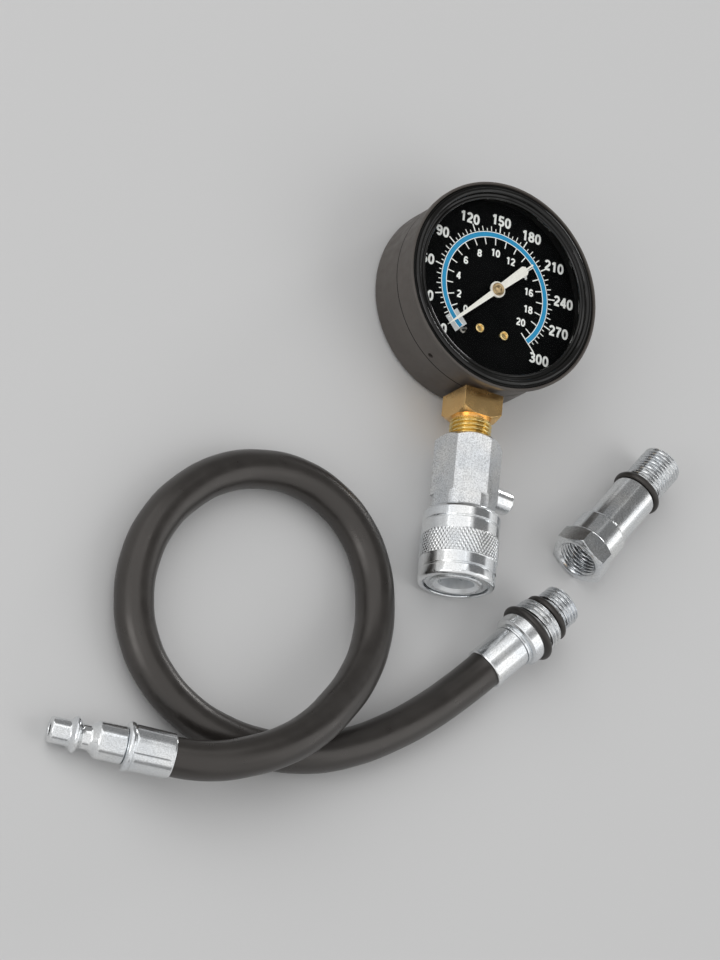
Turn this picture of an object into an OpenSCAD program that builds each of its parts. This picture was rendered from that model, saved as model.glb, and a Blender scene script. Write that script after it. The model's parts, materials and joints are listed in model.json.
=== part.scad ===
// Engine compression tester: a dial gauge on a quick coupler, a hose with a
// plug and a double thread, and a long reach adapter, laid out on a bench.
// Millimetres. The gauge lies on its back, its stem runs along -Y.

/* [Gauge case] */
// Outer radius of the case
case_r = 33.5; // [32:0.5:36]
// Height from the case's back to the top of its lip
case_h = 26; // [25:0.5:30]
// Thickness of the case's steel
case_wall = 0.9; // [0.7:0.1:1.2]
// Radius on the case's back edge
back_round = 2; // [1:0.5:4]
// Height of the seam between the rear and the front of the case
seam_z = 14.6; // [13:0.2:16]
// How far the lip stands out from the case
lip_out = 1.5; // [1:0.1:2]
// Height of the lip
lip_h = 1.6; // [1.2:0.1:2]
// Radius of the vent hole in the case's side
vent_r = 0.9; // [0.4:0.1:1.2]

/* [Face] */
// Depth of the dial's printed face below the lip
dial_depth = 6; // [6:0.1:7]
// Thickness of the dial plate
dial_t = 0.6; // [0.4:0.1:0.8]
// Width of the bezel, from the lip's recess to the open lens
bezel_w = 4.65; // [4.1:0.05:6]
// Thickness of the lens
lens_t = 0.9; // [0.7:0.1:1]
// Radius of the dial screws' heads
screw_head_r = 1.45; // [1.2:0.05:1.8]
// Distance of the dial screws from the middle line
screw_x = 4.6; // [4.4:0.1:5]
// Distance of the dial screws below the pointer's axis
screw_y = 14.4; // [14:0.1:15]

/* [Pointer] */
// Length of the pointer from its axis to its tip
pointer_len = 24.2; // [22:0.2:25]
// Length of the pointer's tail
tail_len = 17.4; // [15:0.2:18]
// Thickness of the pointer
pointer_t = 0.5; // [0.3:0.1:0.6]
// Angle of the pointer at zero pressure
zero_angle = -135; // [-140:1:-130]

/* [Movement] */
// Teeth on the pinion
pinion_teeth = 10; // [10:2:12]
// Teeth that a full circle of the sector would have
sector_teeth = 120; // [112:8:120]
// Module of both gears
gear_m = 0.25; // [0.24:0.01:0.25]
// Length of the sector's tail
sector_tail = 8.5; // [8:0.1:9]
// Length of the link
link_len = 11.5; // [11:0.1:12]
// Swing of the sector from zero to full scale
sector_swing = 22.5; // [20:0.5:24]
// Mean radius of the pressure tube's curve
tube_curve_r = 24.5; // [24:0.1:25]
// Height of the flattened pressure tube
tube_h = 8; // [6:0.5:9]
// Thickness of the flattened pressure tube across its curve
tube_w = 3; // [2.4:0.1:3.2]

/* [Stem] */
// How far the stem's axis lies below the middle of the case's height
stem_drop = 0.4; // [0:0.1:0.4]
// Width across the square block on the stem
block_w = 14; // [12.5:0.5:15]
// Radius of the tapered thread where it leaves the block
pipe_r = 6.85; // [6.5:0.05:7]
// Radius of the neck that passes through the case
neck_r = 4.8; // [4.4:0.1:5]

/* [Coupler] */
// Width across the flats of the coupler's hexagon
hex_af = 19.05; // [19:0.05:20]
// Length of the hexagon's rear half
hex_l = 20; // [19:0.5:24]
// Place of the release button along the hexagon
button_at = 15.5; // [15:0.1:15.8]
// Turn of the hexagon about the stem
hex_turn = -20; // [-25:1:-15]
// Radius of the tube that carries the balls
tube_r = 8.6; // [8.5:0.05:8.8]
// Radius of the socket that takes the plug
socket_r = 5.95; // [5.9:0.05:6.1]
// Radius of the bore that seals round the plug's nose
nose_bore_r = 4.1; // [4.1:0.05:4.2]
// Radius of a locking ball
ball_r = 2.25; // [2.2:0.05:2.3]
// Outer radius of the sleeve
sleeve_r = 12.4; // [12.2:0.05:12.5]
// How far the knurled band stands out from the sleeve
knurl_out = 0.15; // [0.1:0.05:0.15]
// How far the sleeve pulls back
sleeve_travel = 4; // [3.5:0.1:4]
// Radius of the release button
button_r = 4; // [3.4:0.1:4]
// Height of the release button above the hexagon's flat
button_h = 8.7; // [7:0.1:10]

/* [Hose] */
// Outer radius of the hose
hose_r = 6.2; // [6:0.05:6.2]
// Bore radius of the hose
hose_bore_r = 3.3; // [3:0.1:3.5]
// Radius of the plug's nose
nose_r = 4.05; // [3.9:0.05:4.05]
// Radius of the plug's flange
flange_r = 5.65; // [5.4:0.05:5.7]
// Radius of the groove that the balls hold
groove_r = 3.9; // [3.6:0.05:4]
// Radius of the plug's body
plug_r = 5.85; // [5.6:0.05:5.9]
// Length of the plug from its nose to the ferrule's mouth
plug_len = 38.4; // [37:0.1:42]
// Outer radius of the ferrules
ferrule_r = 7; // [6.9:0.05:7.1]
// Thickness of the ferrules
ferrule_wall = 0.7; // [0.5:0.05:0.75]

/* [Threads] */
// Outer radius of the small spark plug thread
m14_r = 6.95; // [6.9:0.05:7]
// Outer radius of the large spark plug thread
m18_r = 8.95; // [8.9:0.05:9]
// Thickness of the small O-rings
oring_small_t = 2.3; // [2:0.1:2.6]
// Thickness of the large O-ring
oring_large_t = 2.5; // [2.2:0.1:2.6]
// Length of the hose fitting from the ferrule's mouth to its end
fitting_len = 36.8; // [36:0.1:40]

/* [Adapter] */
// Width across the flats of the adapter's hexagon
adapter_af = 17.5; // [17.4:0.1:19]
// Length of the adapter
adapter_len = 51.8; // [50:0.1:60]
// Radius of the adapter's long sleeve
adapter_r = 7.55; // [7.4:0.05:7.8]
// Radius of the adapter's threaded bore
adapter_bore_r = 6.3; // [6.2:0.05:6.4]
// Depth of the adapter's threaded bore
adapter_bore_l = 14; // [12:0.5:16]

/* [Layout] */
// Place of the plug's nose on the bench
plug_at = [-130.7, -177.1];
// Direction of the plug on the bench
plug_yaw = -2.4; // [-4:0.1:0]
// Rise of the plug towards the hose
plug_rise = 14; // [12:0.5:16]
// Place of the hose fitting's ferrule mouth on the bench
fitting_at = [16.3, -121.4];
// Direction of the hose fitting on the bench
fitting_yaw = 48.8; // [46:0.1:52]
// Place of the adapter's hexagon end on the bench
adapter_at = [46.2, -77];
// Direction of the adapter on the bench
adapter_yaw = 54.6; // [52:0.1:58]

/* [Hidden] */
$fn = 64;

// Clearances: seated pieces, running pieces, cuts that run past a face
seat_gap = 0.05;
run_gap = 0.06;
cut = 1;

// Case and face
case_in = case_r - case_wall;
lip_r = case_r + lip_out;
lip_z = case_h - lip_h;
recess_z = case_h - 1.1;
recess_r = lip_r - 0.9;
bezel_in = recess_r - seat_gap - bezel_w;
dial_z = case_h - dial_depth;
stem_z = case_h / 2 - stem_drop;
rim_top = dial_z - dial_t - seat_gap;
rim_r = case_in - seat_gap;
rim_in = rim_r - case_wall;
dial_r = rim_r - 0.3;
bezel_low = dial_z + 1.5;
lens_top = case_h - 2;
lens_z = lens_top - lens_t;
lens_r = rim_r - 0.7;
pointer_z = dial_z + 1.5;
hub_top = lens_z - 0.3;
vent_angle = 234.3;
seam_bevel = 0.2;
vent_z = seam_z + 2.2;

// Movement
pinion_r = pinion_teeth * gear_m / 2;
sector_r = sector_teeth * gear_m / 2;
sector_dir = -85;
sector_at = (pinion_r + sector_r) * [cos(sector_dir), sin(sector_dir)];
press_angle = 25;
tooth_gap = 0.1;
plate_t = 1.2;
base_z = stem_z - 4.1;
sector_z = base_z + plate_t + 0.9;
sector_t = 1.4;
pinion_z = sector_z - 0.3;
pinion_t = 2;
link_z = sector_z + sector_t + 0.15;
link_t = 0.8;
spring_z = stem_z + 0.6;
top_plate_z = stem_z + 2.2;
staff_r = 0.9;
pivot_r = 0.7;
post_r = 1.5;
pillar_r = 1.3;
pillar_x = 5.2;
pillar_y = 2.8;
plate_x = 6.8;
plate_y0 = -18.5;
plate_y1 = 4.5;
tail_dir = 306.75;
tail_at = sector_at + sector_tail * [cos(tail_dir), sin(tail_dir)];
link_dir = 48;
tip_at = tail_at + link_len * [cos(link_dir), sin(link_dir)];
tube_start = -42.2;
tube_end = 256;

// Stem, as distances from the gauge's axis along -Y
block_s = case_r + 0.9;
block_end = block_s + 8.3;
pipe_end = block_end + 14.3;
neck_s = 26;
head_s = 20.5;
hex_s = block_end + 7.3;
hex_r = hex_af / 2 / cos(30);
split_s = hex_s + hex_l;
spigot_r = 7;
spigot_end = split_s + 6;
chamber_r = 4.6;
turned_r = 10.2;
shoulder_s = split_s + 5.5;
seat_s = spigot_end + 2;
nose_s = seat_s + 1.2;
seal_s = nose_s + 4;
seal_t = 2.4;
seal_r = 5.6;
ball_s = nose_s + 11.2;
ball_in = 4.15;
ball_rc = ball_in + ball_r;
ball_travel = 1.85;
mouth_s = ball_s + 8.5;
ring_s = mouth_s - 1.35;
ring_t = 0.7;
ring_root = tube_r - 0.4;

// Sleeve
skirt_in = turned_r + 0.2;
land_r = tube_r + 0.1;
relief_r = 10.6;
sleeve_s = shoulder_s - 0.9;
skirt_back = 6.4;
skirt_end = ball_s - skirt_back;
ramp_s = ball_s - 0.5;
ramp_l = (relief_r - land_r) * sleeve_travel / ball_travel;
inner_lip_s = ring_s - 0.85;
sleeve_end = mouth_s + 0.1;
knurl_back = 6.8;
knurl_fore = 0.8;
knurl_s0 = ball_s - knurl_back;
knurl_s1 = ball_s + knurl_fore;
groove_w = 0.8;
groove_d = 0.35;
groove_s0 = sleeve_s + 4.4;
groove_s1 = sleeve_end - 4.2;
sleeve_spring_l = skirt_end - shoulder_s - sleeve_travel - 0.2;
poppet_travel = 1.4;
poppet_back = seat_s - 1.7;
poppet_spring_s = split_s - 0.45;

// Button, as distances from the stem's axis along its own
button_s = hex_s + button_at;
button_dir = -30 - hex_turn;
button_seat = hex_af / 2 - 3;
button_base = button_seat + 1.2;
button_top = hex_af / 2 + button_h;
button_in = 2.9;
button_hollow = button_base + 4.8;
button_travel = 1;
cavity_r = 3.6;
valve_r = 1.15;

// Plug, from its nose
flange_t = 7.9;
flange_w = 0.9;
bead_t = 23.3;
barb_r = hose_bore_r - seat_gap;
clamp_r = hose_r + seat_gap;
bead_r = 7.75;
bead_w = 1.25;

// Fitting, from its ferrule's mouth
collar_t = 15.2;
collar_end = 18.85;
m18_t = collar_end + oring_large_t;
m18_end = 27.1;
m14_t = m18_end + oring_small_t + 0.5;
core_bore_r = 2.6;
core_t = 28;
oring_m18_r = m18_r - 1.25 + oring_large_t;
oring_m18_t = (collar_end + m18_t) / 2;
oring_m14_r = m14_r - 0.9 + oring_small_t;

// Adapter, from its hexagon end
adapter_hex_l = 6.5;
adapter_waist = 14.9;
adapter_thread = adapter_len - 14.8;
adapter_relief = adapter_thread - oring_small_t - 0.2;

// Resting places: the plug on its nose, the fitting on its ferrule and large O-ring
plug_z = nose_r - 0.2;
fitting_z = ferrule_r + 0.02;
fitting_rise = asin((oring_m18_r - ferrule_r) / oring_m18_t);
adapter_z = adapter_af / 2 + 0.02;

// The hose's route between the two ferrules, chosen by hand
HOSE = [
    [-81, -177.7, 16], [-70, -174, 18.1], [-59.5, -168.5, 19.2], [-49.5, -160.5, 18.9], [-41, -150.5, 17.2],
    [-33, -138.5, 14.2], [-27.5, -124.5, 10.8], [-26, -110.5, 8.2], [-28, -98.5, 6.8], [-34, -88, 6.3],
    [-43.5, -80.5, 6.25], [-56, -76.5, 6.25], [-69.5, -77.2, 6.25], [-83, -82.2, 6.25], [-95, -91.8, 6.25],
    [-103.7, -103.8, 6.25], [-108.3, -117.2, 6.25], [-108.8, -130.3, 6.25], [-105.5, -142.6, 6.25],
    [-98, -153.2, 6.25], [-87, -161, 6.25], [-73.5, -165.3, 6.25], [-59, -166.2, 6.25], [-43.5, -164, 6.25],
    [-28.5, -158, 6.25], [-15, -149.8, 6.25], [-3, -140.5, 6.25], [7.2, -131, 6.28]
];
HOSE_SIDES = 12;

// Colours
C_CASE = [0.1, 0.1, 0.1];
C_GLOSS = [0.03, 0.03, 0.03];
C_LENS = [0.8, 0.9, 0.95, 0.3];
C_WHITE = [0.92, 0.92, 0.88];
C_BRASS = [0.78, 0.58, 0.27];
C_STEEL = [0.78, 0.79, 0.8];
C_RUBBER = [0.07, 0.07, 0.07];

function polar(r, a) = [r * cos(a), r * sin(a)];
function arc(c, r, a0, a1, n) = [for (i = [0:n]) c + polar(r, a0 + (a1 - a0) * i / n)];
function unit(v) = v / norm(v);
function heading(yaw, rise) = [cos(rise) * cos(yaw), cos(rise) * sin(yaw), sin(rise)];
function involute(a) = tan(a) * 180 / PI - a;

// One flank of a gear tooth from its root to its tip, as half angles by radius
function flank_angle(r, pitch, half) =
    r < pitch * cos(press_angle)
        ? half + involute(press_angle)
        : half + involute(press_angle) - involute(acos(pitch * cos(press_angle) / r));
function flank(pitch, root, tip, half, at, side) = [
    for (k = [0:4])
        let (r = root + (tip - root) * (side < 0 ? k : 4 - k) / 4)
            polar(r, at + side * flank_angle(r, pitch, half))
];
function teeth(pitch, count, root, tip, list, turn) =
    let (half = 90 / count - tooth_gap / 4 / pitch * 180 / PI)
        [for (k = list) each concat(
            flank(pitch, root, tip, half, turn + k * 360 / count, -1),
            flank(pitch, root, tip, half, turn + k * 360 / count, 1))];

// Rings of a tube swept along a list of points, with given end directions
function side_of(t) = unit(cross([0, 0, 1], t));
function ring(p, t, r, n) =
    let (s = side_of(t), u = cross(t, s))
        [for (k = [0:n - 1]) p + r * (cos(360 * (k + 0.5) / n) * s + sin(360 * (k + 0.5) / n) * u)];
function tube_faces(rings, n) = concat(
    [[for (k = [0:n - 1]) n - 1 - k]],
    [for (i = [0:rings - 2], k = [0:n - 1]) [i * n + k, i * n + (k + 1) % n, (i + 1) * n + k]],
    [for (i = [0:rings - 2], k = [0:n - 1])
        [i * n + (k + 1) % n, (i + 1) * n + (k + 1) % n, (i + 1) * n + k]],
    [[for (k = [0:n - 1]) (rings - 1) * n + k]]);

module swept(points, first, last, r, n) {
    m = len(points);
    dirs = [for (i = [0:m - 1]) i == 0 ? first : i == m - 1 ? last : unit(points[i + 1] - points[i - 1])];
    polyhedron([for (i = [0:m - 1]) each ring(points[i], dirs[i], r, n)], tube_faces(m, n), convexity = 8);
}

// A coil spring along +Z, wire and all within its length
module coil(mean_r, wire_r, length, turns) {
    steps = 12;
    rise = length - 2 * wire_r;
    n = round(turns * steps);
    path = [for (i = [0:n]) concat(polar(mean_r, 360 * i / steps), [wire_r + rise * i / n])];
    rings = [for (i = [0:n])
        let (a = 360 * i / steps, out = concat(polar(1, a), [0]))
            for (k = [0:5]) path[i] + wire_r * (cos(60 * k) * out + sin(60 * k) * [0, 0, 1])];
    polyhedron(rings, [for (f = tube_faces(n + 1, 6)) [for (i = [len(f) - 1:-1:0]) f[i]]], convexity = 8);
}

module turned(points) {
    rotate_extrude($fn = 96) polygon(points);
}

module tube(r_out, r_in, length) {
    difference() {
        cylinder(r = r_out, h = length);
        translate([0, 0, -cut]) cylinder(r = r_in, h = length + 2 * cut);
    }
}

module hexagon(af, length) {
    cylinder(r = af / 2 / cos(30), h = length, $fn = 6);
}

// An O-ring about the local +Z axis, centred at z = 0
module oring(r_out, t) {
    rotate_extrude($fn = 48) translate([r_out - t / 2, 0]) circle(r = t / 2, $fn = 24);
}

// Local frames: z runs out along the stem, the button, the plug, the fitting and the adapter
module on_stem() {
    translate([0, 0, stem_z]) rotate([90, 0, 0]) children();
}

module on_button() {
    on_stem() translate([0, 0, button_s]) rotate([0, 0, button_dir]) rotate([0, 90, 0]) children();
}

module on_plug() {
    translate([plug_at[0], plug_at[1], plug_z]) rotate([0, 90 - plug_rise, plug_yaw]) children();
}

module on_fitting() {
    translate([fitting_at[0], fitting_at[1], fitting_z])
        rotate([0, 90 - fitting_rise, fitting_yaw]) children();
}

module on_adapter() {
    translate([adapter_at[0], adapter_at[1], adapter_z]) rotate([0, 90, adapter_yaw]) children();
}

// Gauge case
module neck_hole() {
    on_stem() translate([0, 0, neck_s]) rotate([0, 0, 17]) cylinder(r = neck_r + 0.3, h = case_r);
}

module rear_case() {
    color(C_CASE) difference() {
        turned(concat(
            [[0, 0]],
            arc([case_r - back_round, back_round], back_round, -90, 0, 6),
            [[case_r, seam_z - seat_gap - seam_bevel], [case_r - seam_bevel, seam_z - seat_gap],
             [rim_r, seam_z - seat_gap], [rim_r, rim_top], [rim_in, rim_top], [rim_in, seam_z - 2]],
            [[case_in - seat_gap, seam_z - 3]],
            arc([case_in - back_round, case_wall + back_round], back_round, 0, -90, 6),
            [[0, case_wall]]));
        neck_hole();
    }
}

module front_case() {
    color(C_CASE) difference() {
        turned([[case_in, seam_z], [case_r - seam_bevel, seam_z], [case_r, seam_z + seam_bevel],
                [case_r, lip_z - 0.3], [lip_r, lip_z], [lip_r, case_h - 0.25], [lip_r - 0.25, case_h],
                [recess_r + 0.2, case_h], [recess_r, case_h - 0.4], [recess_r, recess_z],
                [case_in, recess_z]]);
        neck_hole();
        rotate([0, 0, vent_angle]) translate([case_in - cut, 0, vent_z]) rotate([0, 90, 0])
            cylinder(r = vent_r, h = case_wall + 2 * cut);
    }
}

// Bezel with a groove inside the lip, a broad bead, a step down and a small bead at the lens
module bezel_ring() {
    out = recess_r - seat_gap;
    bead = arc([out - 1.75, case_h - 0.6], 1.05, 30, 165, 10);
    inner = arc([bezel_in + 0.5, case_h - 1.1], 0.5, 10, 180, 6);
    color(C_GLOSS) turned(concat(
        [[out, recess_z + seat_gap], [out, case_h - 0.75], [out - 0.25, case_h - 0.5],
         [out - 0.7, case_h - 0.55]], bead, [[out - 3, case_h - 0.8]], inner,
        [[bezel_in, lens_top + seat_gap], [lens_r + seat_gap, lens_top + seat_gap],
         [lens_r + seat_gap, bezel_low], [rim_r, bezel_low], [rim_r, recess_z + seat_gap]]));
}

module lens() {
    color(C_LENS) translate([0, 0, lens_z]) cylinder(r = lens_r, h = lens_t, $fn = 96);
}

// Spacer ring that holds the lens off the dial
module face_ring() {
    color(C_GLOSS) translate([0, 0, dial_z + seat_gap])
        tube(lens_r, lens_r - 1.2, lens_z - dial_z - 2 * seat_gap, $fn = 96);
}

module dial_plate() {
    color(C_GLOSS) difference() {
        translate([0, 0, dial_z - dial_t]) cylinder(r = dial_r, h = dial_t, $fn = 96);
        translate([0, 0, dial_z - cut]) cylinder(r = staff_r + 1, h = 2 * cut);
        for (x = [-screw_x, screw_x])
            translate([x, -screw_y, dial_z - cut]) cylinder(r = 0.9, h = 2 * cut);
    }
}

module dial_screws() {
    color(C_BRASS) for (x = [-screw_x, screw_x])
        translate([x, -screw_y, dial_z]) difference() {
            union() {
                turned(concat([[0, 0.01], [screw_head_r, 0.01]],
                              arc([screw_head_r - 0.25, 0.75], 0.25, 0, 180, 6),
                              [[screw_head_r - 0.5, 0.4], [0.75, 0.4], [0.6, 0.7], [0, 0.8]]));
                translate([0, 0, -2.8]) cylinder(r = 0.75, h = 3);
            }
            rotate([0, 0, x * 12]) translate([-0.8, -0.15, 0.55]) cube([1.6, 0.3, cut]);
        }
}

// Stop for the pointer below zero, pressed into the dial
module stop_pin() {
    color(C_STEEL) translate(concat(polar(19.9, -122.5), [dial_z]))
        turned([[0, 0.01], [1, 0.01], [1, 0.3], [0.55, 0.5], [0.55, 2], [0.35, 2.3], [0, 2.4]]);
}

// Brass socket: thread, square block, neck, head for the pressure tube and movement tongue
module socket() {
    color(C_BRASS) difference() {
        union() {
            on_stem() {
                intersection() {
                    translate([-block_w / 2, -block_w / 2, block_s])
                        cube([block_w, block_w, block_end - block_s]);
                    turned([[0, block_s], [block_w, block_s], [block_w, block_end - 1.8],
                            [block_w * 0.72, block_end - 1.8], [block_w / 2 + 0.5, block_end],
                            [0, block_end]]);
                }
                turned([[0, block_end - cut], [pipe_r - 0.6, block_end - cut],
                        [pipe_r - 0.6, block_end + 0.7], [pipe_r, block_end + 1.2],
                        [pipe_r - 0.35, pipe_end - 0.8], [pipe_r - 1.1, pipe_end], [0, pipe_end]]);
                translate([0, 0, neck_s]) cylinder(r = neck_r, h = block_s - neck_s + cut);
                translate([-8.5, -4.5, head_s]) cube([10.5, 9, neck_s - head_s + 1.5]);
            }
            translate([-6, -neck_s, base_z - 2]) cube([12, neck_s + plate_y0 + 10, 2]);
        }
        on_stem() translate([0, 0, head_s + 2.5]) cylinder(r = 1.6, h = pipe_end);
        on_stem() translate([-6.2, 0, head_s + 3.8]) rotate([0, 90, 0]) cylinder(r = 1.1, h = 6.2);
        bourdon_sweep(seat_gap, tube_end + 0.4);
    }
}

module tube_section(grow) {
    polygon([for (a = [0:22.5:359])
        [tube_curve_r + (tube_w / 2 + grow) * cos(a), stem_z + (tube_h / 2 + grow) * sin(a)]]);
}

module bourdon_sweep(grow, end) {
    rotate([0, 0, tube_start]) rotate_extrude(angle = end - tube_start, $fn = 96) tube_section(grow);
}

// Flattened C tube that uncurls under pressure
module bourdon_tube() {
    color(C_BRASS) difference() {
        bourdon_sweep(0, tube_end);
        rotate([0, 0, -cut]) bourdon_sweep(-0.35, tube_end + 3 * cut);
    }
}

module tube_tip() {
    color(C_BRASS) {
        rotate([0, 0, tube_start - 5]) rotate_extrude(angle = 4.9, $fn = 96)
            translate([tube_curve_r - tube_w / 2, stem_z - tube_h / 2]) square([tube_w, tube_h]);
        rotate([0, 0, tube_start - 4.5])
            translate([norm(tip_at) - 1.4, -1.5, link_z - 1.3]) cube([tube_curve_r - norm(tip_at), 3, 1.1]);
        translate(concat(tip_at, [link_z - 1])) cylinder(r = 0.55, h = 0.9);
    }
}

// Oblong with cut corners
module plate_outline() {
    side = [[plate_x - 2, plate_y1], [plate_x, plate_y1 - 2],
            [plate_x, plate_y0 + 2], [plate_x - 2, plate_y0]];
    polygon(concat(side, [for (i = [3:-1:0]) [-side[i][0], side[i][1]]]));
}

module movement_base() {
    color(C_BRASS) translate([0, 0, base_z + 0.01]) difference() {
        linear_extrude(plate_t) plate_outline();
        translate([0, 0, -cut]) {
            cylinder(r = pivot_r + run_gap, h = plate_t + 2 * cut);
            translate(sector_at) cylinder(r = pivot_r + run_gap, h = plate_t + 2 * cut);
        }
    }
}

module movement_top() {
    color(C_BRASS) translate([0, 0, top_plate_z]) difference() {
        linear_extrude(plate_t) plate_outline();
        translate([0, 0, -cut]) {
            cylinder(r = staff_r + run_gap, h = plate_t + 2 * cut);
            translate(sector_at) cylinder(r = pivot_r + run_gap, h = plate_t + 2 * cut);
            for (x = [-screw_x, screw_x])
                translate([x, -screw_y]) cylinder(r = post_r + seat_gap, h = plate_t + 2 * cut);
        }
    }
}

// Two posts that reach the dial and two short pillars between the plates
module movement_pillars() {
    low = base_z + plate_t + 0.02;
    color(C_BRASS) {
        for (x = [-screw_x, screw_x])
            translate([x, -screw_y, low]) difference() {
                cylinder(r = post_r, h = rim_top - low);
                translate([0, 0, rim_top - low - 3.2]) cylinder(r = 0.8, h = 4);
            }
        for (x = [-pillar_x, pillar_x])
            translate([x, pillar_y, low]) cylinder(r = pillar_r, h = top_plate_z - low - 0.01);
    }
}

// Flat spiral spring round the pointer's staff, held by the left pillar
module hairspring() {
    turns = 3.5;
    n = 70;
    strip = 0.2;
    first = staff_r + 0.1;
    reach = norm([pillar_x, pillar_y]) - pillar_r - 0.02 - strip - first;
    inner = [for (i = [0:n]) polar(first + reach * i / n, 360 * turns * i / n)];
    outer = [for (i = [n:-1:0]) polar(first + strip + reach * i / n, 360 * turns * i / n)];
    color(C_BRASS) translate([0, 0, spring_z]) rotate([0, 0, -atan2(pillar_y, pillar_x)])
        linear_extrude(0.6) polygon(concat(inner, outer));
}

module pointer() {
    half = [[pointer_len, 0.05], [pointer_len - 6, 0.5], [0, 1.05], [4.1 - tail_len, 1.6],
            [3.1 - tail_len, 0.9], [3.1 - tail_len, 0.3], [-tail_len, 0.3]];
    color(C_WHITE) translate([0, 0, pointer_z]) rotate([0, 0, zero_angle]) difference() {
        linear_extrude(pointer_t) union() {
            polygon(concat(half, [for (i = [len(half) - 1:-1:0]) [half[i][0], -half[i][1]]]));
            circle(r = 2.7);
        }
        translate([0, 0, -cut]) cylinder(r = staff_r + 0.02, h = 3 * cut);
    }
}

// Dished hub with a small dome, pressed on the staff over the pointer
module pointer_hub() {
    low = pointer_z + pointer_t + 0.01;
    color(C_BRASS) turned(concat(
        [[staff_r + 0.02, low], [2.1, low]], arc([1.9, low + 0.4], 0.2, 0, 150, 6),
        [[1.3, low + 0.36], [1, low + 0.42]], arc([0, hub_top - 1], 1, 50, 90, 5),
        [[0, low + 0.3], [staff_r + 0.02, low + 0.3]]));
}

module pinion_shaft() {
    list = [for (k = [0:pinion_teeth - 1]) k];
    color(C_BRASS) {
        translate([0, 0, base_z + 0.2]) cylinder(r = pivot_r, h = pinion_z - base_z);
        translate([0, 0, pinion_z]) linear_extrude(pinion_t)
            polygon(teeth(pinion_r, pinion_teeth, pinion_r - 0.32, pinion_r + 0.22, list,
                          sector_dir + 180 / pinion_teeth));
        translate([0, 0, pinion_z + pinion_t - 0.1])
            cylinder(r = staff_r, h = pointer_z + pointer_t + 0.25 - pinion_z - pinion_t + 0.1);
    }
}

// Toothed sector with its hub, arbor, tail and link pin
module sector_gear() {
    step = 360 / sector_teeth;
    first = -ceil(sector_swing / step) - 1;
    facing = sector_dir + 180;
    color(C_BRASS) translate(concat(sector_at, [0])) {
        translate([0, 0, sector_z]) linear_extrude(sector_t) union() {
            polygon(concat(
                teeth(sector_r, sector_teeth, sector_r - 0.32, sector_r + 0.18,
                      [for (k = [first:2]) k], facing),
                arc([0, 0], sector_r - 2.4, facing + 3 * step, facing + (first - 1) * step, 12)));
            polygon([polar(sector_r - 1.5, facing + step), polar(1.5, facing + 60), polar(1.5, facing - 50),
                     polar(sector_r - 1.5, facing - 5 * step)]);
            circle(r = 1.9);
            rotate([0, 0, tail_dir]) translate([0, -1]) square([sector_tail, 2]);
            translate(sector_tail * [cos(tail_dir), sin(tail_dir)]) circle(r = 1.5);
        }
        translate([0, 0, base_z + 0.2]) cylinder(r = pivot_r, h = top_plate_z + plate_t - base_z - 0.4);
        translate(concat(polar(sector_tail, tail_dir), [sector_z])) {
            cylinder(r = 0.55, h = sector_t + link_t + 0.5);
            translate([0, 0, sector_t + link_t + 0.25]) cylinder(r = 1, h = 0.4);
        }
    }
}

module link() {
    color(C_BRASS) difference() {
        translate([0, 0, link_z]) linear_extrude(link_t) union() {
            translate(tail_at) circle(r = 1.4);
            translate(tip_at) circle(r = 1.4);
            translate(tail_at) rotate([0, 0, link_dir]) translate([0, -0.8]) square([link_len, 1.6]);
        }
        for (p = [tail_at, tip_at])
            translate(concat(p, [link_z - cut])) cylinder(r = 0.55 + run_gap, h = 3 * cut);
    }
}

// Rear half of the coupler: hexagon with the pipe thread, the button's seat and a spigot
module coupler_back() {
    color(C_STEEL) difference() {
        on_stem() difference() {
            union() {
                intersection() {
                    translate([0, 0, hex_s]) rotate([0, 0, -hex_turn]) hexagon(hex_af, split_s - hex_s);
                    turned([[0, hex_s], [hex_af / 2 - 0.3, hex_s], [hex_r + 0.1, hex_s + 1.6],
                            [hex_r + 0.1, split_s], [0, split_s]]);
                }
                translate([0, 0, split_s - cut]) cylinder(r = spigot_r, h = spigot_end - split_s + cut);
            }
            turned([[0, hex_s - cut], [pipe_r + 0.8, hex_s - cut], [pipe_r + 0.8, hex_s],
                    [pipe_r + seat_gap, hex_s + 0.8], [pipe_r + seat_gap, pipe_end + 2], [0, pipe_end + 3]]);
            translate([0, 0, pipe_end]) cylinder(r = 2.2, h = split_s - pipe_end);
            translate([0, 0, button_s - 3.5]) cylinder(r = cavity_r, h = 7);
            translate([0, 0, button_s]) cylinder(r = 2.2, h = spigot_end - button_s);
            translate([0, 0, split_s - 0.5]) cylinder(r = chamber_r, h = spigot_end - split_s + cut);
        }
        on_button() {
            translate([0, 0, button_seat]) cylinder(r = button_r + run_gap, h = hex_r);
            cylinder(r = valve_r + 0.15, h = hex_r);
        }
    }
}

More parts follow.
